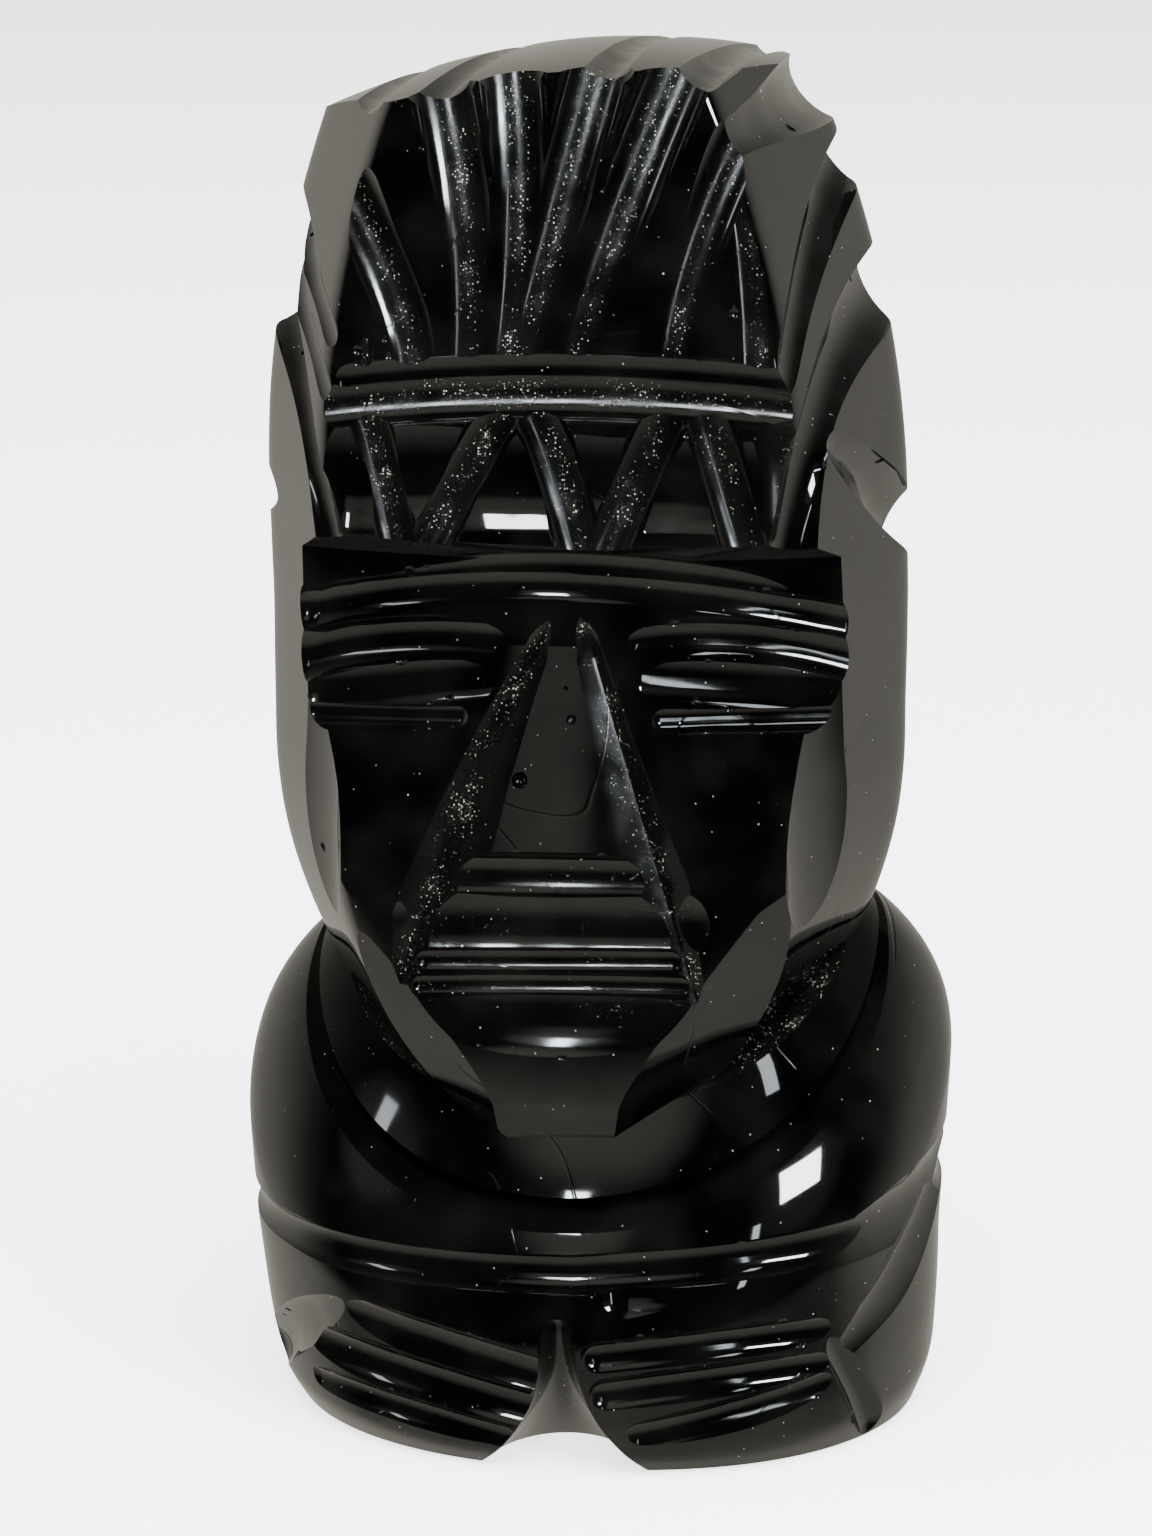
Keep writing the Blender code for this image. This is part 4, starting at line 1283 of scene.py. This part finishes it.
class Graph:
    """A node tree that nodes are added to one at a time."""

    def __init__(self, tree: bpy.types.NodeTree) -> None:
        """Empties the tree."""
        self.tree = tree
        tree.nodes.clear()

    def node(self, kind: str, settings: dict | None = None, inputs: dict | None = None,
             output: str | int = 0) -> Signal:
        """Adds a node.

        Args:
            kind: Blender's name of the node type.
            settings: Its own settings, which are set first.
            inputs: Values or signals for its sockets, by name or number.
            output: Which output is wanted.

        Returns:
            The output as a signal.
        """
        made = self.tree.nodes.new(kind)
        for name, value in (settings or {}).items():
            setattr(made, name, value)
        for name, value in (inputs or {}).items():
            if isinstance(value, Signal):
                self.tree.links.new(value.socket, made.inputs[name])
            else:
                made.inputs[name].default_value = value
        return Signal(self, made.outputs[output] if made.outputs else None)

    def math(self, operation: str, *values: Signal | float) -> Signal:
        """A Math node on one or two values."""
        return self.node("ShaderNodeMath", {"operation": operation}, dict(enumerate(values)))

    def noise(self, where: Signal, scale: float, detail: float = 2.0, distortion: float = 0.0) -> Signal:
        """Value of a noise pattern, about 0.5 on average."""
        inputs = {"Vector": where, "Scale": scale, "Detail": detail, "Distortion": distortion}
        return self.node("ShaderNodeTexNoise", {}, inputs, "Fac")

    def grains(self, where: Signal, scale: float) -> tuple[Signal, Signal]:
        """Distance to the nearest of scattered points, in cells, and a random number for each point."""
        made = self.node("ShaderNodeTexVoronoi", {}, {"Vector": where, "Scale": scale}, "Distance")
        colour = Signal(self, made.socket.node.outputs["Color"])
        chance = self.node("ShaderNodeSeparateColor", {}, {"Color": colour}, "Red")
        return made, chance

    def mix(self, share: Signal, first: tuple, second: tuple) -> Signal:
        """A colour between two colours."""
        settings = {"data_type": "RGBA"}
        return self.node("ShaderNodeMix", settings, {0: share, 6: (*first, 1.0), 7: (*second, 1.0)}, 2)


@dataclass(frozen=True)
class Specks:
    """One size of scattered specks.

    Attributes:
        density: Points in a mm.
        share: Share of the points that show everywhere.
        share_of_wear: Share more that shows on fully worn stone.
        growth: Size in cells for each unit of a point's random number.
        blur: Width of a speck's soft edge, in cells.
        strength: How well it hides the stone.
    """

    density: float
    share: float
    share_of_wear: float
    growth: float
    blur: float
    strength: float


@dataclass(frozen=True)
class Obsidian:
    """Polished volcanic glass: mirror flats, frosted valleys, light grit and dust, and faint flow veins.

    Attributes:
        body: Colour of the glass, in linear light.
        dust: Colour of grit and dust, in linear light.
        mirror: Roughness of the polished flats.
        ground: Roughness that full wear adds.
        refraction: Refractive index.
        valley_core: Share of the way from the valley to the rim where wear starts to fall.
        valley_edge: Share of the way to the rim where it has gone.
        layers: Powder and grit in the frosted valleys, then fine dust and larger flakes all over.
    """

    body: tuple[float, float, float] = (0.0003, 0.0003, 0.00035)
    dust: tuple[float, float, float] = (0.34, 0.30, 0.24)
    mirror: float = 0.03
    ground: float = 0.30
    refraction: float = 1.5
    valley_core: float = 0.0
    valley_edge: float = 1.05
    layers: tuple[Specks, ...] = (
        Specks(6.5, 0.0, 0.5, 0.9, 0.15, 0.4),
        Specks(4.2, 0.0, 0.62, 0.85, 0.1, 1.0),
        Specks(1.7, 0.1, 0.0, 1.8, 0.05, 0.6),
        Specks(0.34, 0.07, 0.0, 1.2, 0.03, 1.0),
    )

    def material(self) -> bpy.types.Material:
        """The finish as a node material.

        Returns:
            The material.
        """
        made = bpy.data.materials.new("black obsidian")
        made.use_nodes = True
        graph = Graph(made.node_tree)
        place = graph.node("ShaderNodeTexCoord", output="Object")
        where = graph.node("ShaderNodeVectorMath", {"operation": "SCALE"}, {0: place, "Scale": 1 / MM})
        frost = graph.node("ShaderNodeAttribute", {"attribute_name": "frost"}, output="Fac")
        lay = graph.node("ShaderNodeAttribute", {"attribute_name": "lay"}, output="Vector")
        split = graph.node("ShaderNodeSeparateXYZ", {}, {0: lay}, "Z")
        wear = self.wear(graph, where, frost, split)
        specks = self.specks(graph, where, wear)
        smear = graph.noise(where, 0.09, 4).step(0.45, 0.75) * 0.035
        rough = self.mirror + wear * self.ground + specks * 0.4 + smear
        haze = graph.noise(where, 0.12, 5).step(0.35, 0.8) * 0.006
        colour = graph.mix(specks * 0.8 + wear * 0.003 + haze, self.body, self.dust)
        relief = specks * 0.6 + self.streaks(graph, lay, wear) + self.veins(graph, where)
        bump = graph.node("ShaderNodeBump", {}, {"Strength": 0.5, "Distance": 0.03 * MM, "Height": relief})
        shader = graph.node("ShaderNodeBsdfPrincipled", {}, {
            "Base Color": colour, "Roughness": rough, "Normal": bump, "IOR": self.refraction})
        graph.node("ShaderNodeOutputMaterial", {}, {"Surface": shader})
        return made

    def wear(self, graph: Graph, where: Signal, frost: Signal, across: Signal) -> Signal:
        """How frosted the stone is: most at the valley line, broken up by clouds a few mm wide."""
        valley = abs(across).step(self.valley_edge, self.valley_core)
        cloud = graph.noise(where, 0.3, 3).step(0.3, 0.75)
        return frost * valley * (0.45 + cloud * 0.55)

    def specks(self, graph: Graph, where: Signal, wear: Signal) -> Signal:
        """All the specks on the stone: the strongest of the layers at each place.

        A speck is a point's surroundings out to a size that grows as its random number passes the
        share that is bare.

        Args:
            graph: The material's graph.
            where: Place in mm.
            wear: How frosted the stone is.

        Returns:
            Share of the surface that is hidden, 0 to 1.
        """
        total = None
        for layer in self.layers:
            near, chance = graph.grains(where, layer.density)
            size = (chance - (1 - layer.share) + wear * layer.share_of_wear).above(0) * layer.growth
            shown = near.step(size, size - layer.blur) * layer.strength
            total = shown if total is None else total.above(shown)
        return total

    def streaks(self, graph: Graph, lay: Signal, wear: Signal) -> Signal:
        """Fine ridges along each flute, left by the wheel and deeper where it is frosted."""
        stretch = (0.3, 6.0, 0.0)
        drawn = graph.node("ShaderNodeVectorMath", {"operation": "MULTIPLY"}, {0: lay, 1: stretch})
        return graph.noise(drawn, 1.0, 3) * (0.05 + wear * 0.5)

    def veins(self, graph: Graph, where: Signal) -> Signal:
        """A few hair-thin flow lines, where a slow warped noise passes one value."""
        slow = graph.noise(where, 0.028, 1, 1.4)
        return abs(slow - 0.5).step(0.004, 0.0) * -0.5


def direction(azimuth: float, elevation: float) -> Vector:
    """Unit vector at degrees to the right of the front and above the level."""
    turn, rise = math.radians(azimuth), math.radians(elevation)
    return Vector((math.sin(turn) * math.cos(rise), -math.cos(turn) * math.cos(rise), math.sin(rise)))


@dataclass(frozen=True)
class Softbox:
    """An area light.

    Attributes:
        name: Its name.
        towards: Its direction in degrees, to the right of the front and above the level.
        size: Width and height in metres.
        power: Watts.
        distance: Metres from the bust.
        mirrored: Whether it shows in reflections.
    """

    name: str
    towards: tuple[float, float]
    size: tuple[float, float]
    power: float
    distance: float = 0.9
    mirrored: bool = True

    def place(self, aim: Vector) -> None:
        """Puts the light in the scene, facing the point aim."""
        data = bpy.data.lights.new(self.name, "AREA")
        data.shape, data.energy = "RECTANGLE", self.power
        data.size, data.size_y = self.size
        data.color = COOL_WHITE
        light = bpy.data.objects.new(self.name, data)
        away = direction(*self.towards)
        light.location = aim + away * self.distance
        light.rotation_euler = away.to_track_quat("Z", "Y").to_euler()
        light.visible_glossy = self.mirrored
        light.visible_camera = False
        bpy.context.scene.collection.objects.link(light)


@dataclass(frozen=True)
class Glow:
    """A soft round light in the surroundings.

    Attributes:
        towards: Its direction in degrees, to the right of the front and above the level.
        core: Degrees from the middle to where it starts to fade.
        edge: Degrees from the middle to where it has gone.
        strength: Brightness of the core.
    """

    towards: tuple[float, float]
    core: float
    edge: float
    strength: float

    def brightness(self, graph: Graph, way: Signal) -> Signal:
        """Its brightness in the direction way: a smooth step on the cosine from its middle."""
        middle = direction(*self.towards)
        made = graph.node("ShaderNodeVectorMath", {"operation": "DOT_PRODUCT"}, {0: way, 1: middle}, "Value")
        core, edge = math.cos(math.radians(self.core)), math.cos(math.radians(self.edge))
        return made.step(edge, core) * self.strength


class Studio:
    """The pale floor, the bright surroundings that the glass reflects, the lights and the camera.

    Attributes:
        aim: Point that the camera and the lights face.
        camera_distance: Metres from there to the camera.
        camera_side: Direction of the camera in degrees, to the right of the front and above the level.
        focal_pixels: Focal length in pixels of the photograph.
        sensor: Width of the sensor in mm.
        floor_radius: Metres.
        floor_glow: Light that the floor gives off, so that it shows as pale as a lit sweep.
        backdrop: Brightness of what the camera sees behind the floor.
        softboxes: The area lights.
        glows: The soft lights in the surroundings.
    """

    aim = Vector((-2.7, 0.0, 69.6)) * MM
    camera_distance = 450 * MM
    camera_side = (6, 14)
    focal_pixels = 4108.5
    sensor = 36.0
    floor_radius = 3.0
    softboxes = (
        Softbox("right_softbox", (43, 25), (0.19, 0.13), 8),
        Softbox("right_high", (37, 51), (0.05, 0.15), 0.3),
        Softbox("right_strip", (30, 7), (0.03, 0.34), 0.5),
        Softbox("front_window", (-9, 28), (0.05, 0.15), 2),
        Softbox("left_softbox", (-56, 32), (0.06, 0.19), 0.4),
        Softbox("overhead", (18, 72), (1.6, 1.6), 160, 1.6, False),
    )
    glows = (
        Glow((-8, 27), 1, 10, 0.7),
        Glow((-7, 50), 4, 16, 0.9),
        Glow((-9, 16), 1, 8, 0.6),
        Glow((43, 25), 6, 16, 0.25),
        Glow((-56, 32), 4, 14, 0.35),
    )
    floor_glow = 2.5
    backdrop = 1.8

    def build(self) -> None:
        """Makes the floor, the surroundings, the lights and the camera."""
        self.camera()
        self.floor()
        self.surroundings()
        for softbox in self.softboxes:
            softbox.place(self.aim)

    def camera(self) -> None:
        """A camera at the photograph's angle, its focal length from the fitted pixels."""
        data = bpy.data.cameras.new("camera")
        data.sensor_width = self.sensor
        data.lens = self.sensor * self.focal_pixels / PHOTO_HEIGHT
        data.clip_start, data.clip_end = 0.01, 50
        camera = bpy.data.objects.new("camera", data)
        back = direction(*self.camera_side)
        camera.location = self.aim + back * self.camera_distance
        camera.rotation_euler = back.to_track_quat("Z", "Y").to_euler()
        bpy.context.scene.collection.objects.link(camera)
        bpy.context.scene.camera = camera

    def floor(self) -> None:
        """A wide pale disc, from rings whose radius grows as a square; the stone doesn't mirror it."""
        columns, rows = 64, 12
        turns = ring_of(columns)
        radii = np.linspace(0.05, 1, rows) ** 2 * self.floor_radius
        rings = radii[:, None, None] * np.stack([np.cos(turns), np.sin(turns), 0 * turns], -1)[None]
        points = np.concatenate([rings.reshape(-1, 3), np.zeros((1, 3))])
        row, column = np.arange(rows - 1)[:, None] * columns, np.arange(columns)[None, :]
        after = (column + 1) % columns
        quads = np.stack(np.broadcast_arrays(row + column, row + columns + column,
                                             row + columns + after, row + after), -1)
        hub = np.stack([np.full(columns, len(points) - 1), column[0], after[0]], -1)
        mesh = bpy.data.meshes.new("floor")
        mesh.from_pydata(points.tolist(), [], quads.reshape(-1, 4).tolist() + hub.tolist())
        made = bpy.data.materials.new("pale floor")
        made.use_nodes = True
        graph = Graph(made.node_tree)
        shader = graph.node("ShaderNodeBsdfPrincipled", {}, {
            "Base Color": (0.8, 0.8, 0.8, 1.0), "Roughness": 0.9, "Specular IOR Level": 0.1,
            "Emission Color": (1.0, 1.0, 1.0, 1.0), "Emission Strength": self.floor_glow})
        graph.node("ShaderNodeOutputMaterial", {}, {"Surface": shader})
        mesh.materials.append(made)
        floor = bpy.data.objects.new("floor", mesh)
        floor.location.z = -0.0002
        floor.visible_glossy = False
        bpy.context.scene.collection.objects.link(floor)

    def surroundings(self) -> None:
        """White to the sides, behind and below, dark in front and overhead, as round the real stone.

        The brightness is a product of smooth steps on the direction's forward part and its height.
        The camera itself sees an even pale backdrop.
        """
        world = bpy.data.worlds.new("studio")
        bpy.context.scene.world = world
        world.use_nodes = True
        graph = Graph(world.node_tree)
        way = graph.node("ShaderNodeTexCoord", output="Generated")
        back = graph.node("ShaderNodeSeparateXYZ", {}, {0: way}, "Y")
        height = graph.node("ShaderNodeSeparateXYZ", {}, {0: way}, "Z")
        side = back.step(-0.4, 0.25) * (1 - back.step(0.3, 1.0) * 0.45)
        sky = height.step(0.8, 0.1) * 0.85 + 0.15
        below = height.step(-0.3, -0.75)
        light = (side * sky * 0.95).above(below * 0.78) + 0.002
        for glow in self.glows:
            light = light + glow.brightness(graph, way)
        camera = graph.node("ShaderNodeLightPath", output="Is Camera Ray")
        shown = light * (1 - camera) + camera * self.backdrop
        background = graph.node("ShaderNodeBackground", {}, {"Color": WARM_WHITE, "Strength": shown})
        graph.node("ShaderNodeOutputWorld", {}, {"Surface": background})


def main() -> None:
    """Builds the studio and the stone."""
    logging.basicConfig(level=logging.INFO, format="%(name)s: %(message)s")
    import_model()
    Studio().build()
    stone = Bust().build()
    stone.data.materials.clear()
    stone.data.materials.append(Obsidian().material())
    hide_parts("bust")
    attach(stone, "root")
    LOG.info("%s: %d triangles", stone.name, len(stone.data.polygons))


if __name__ == "__main__":
    main()
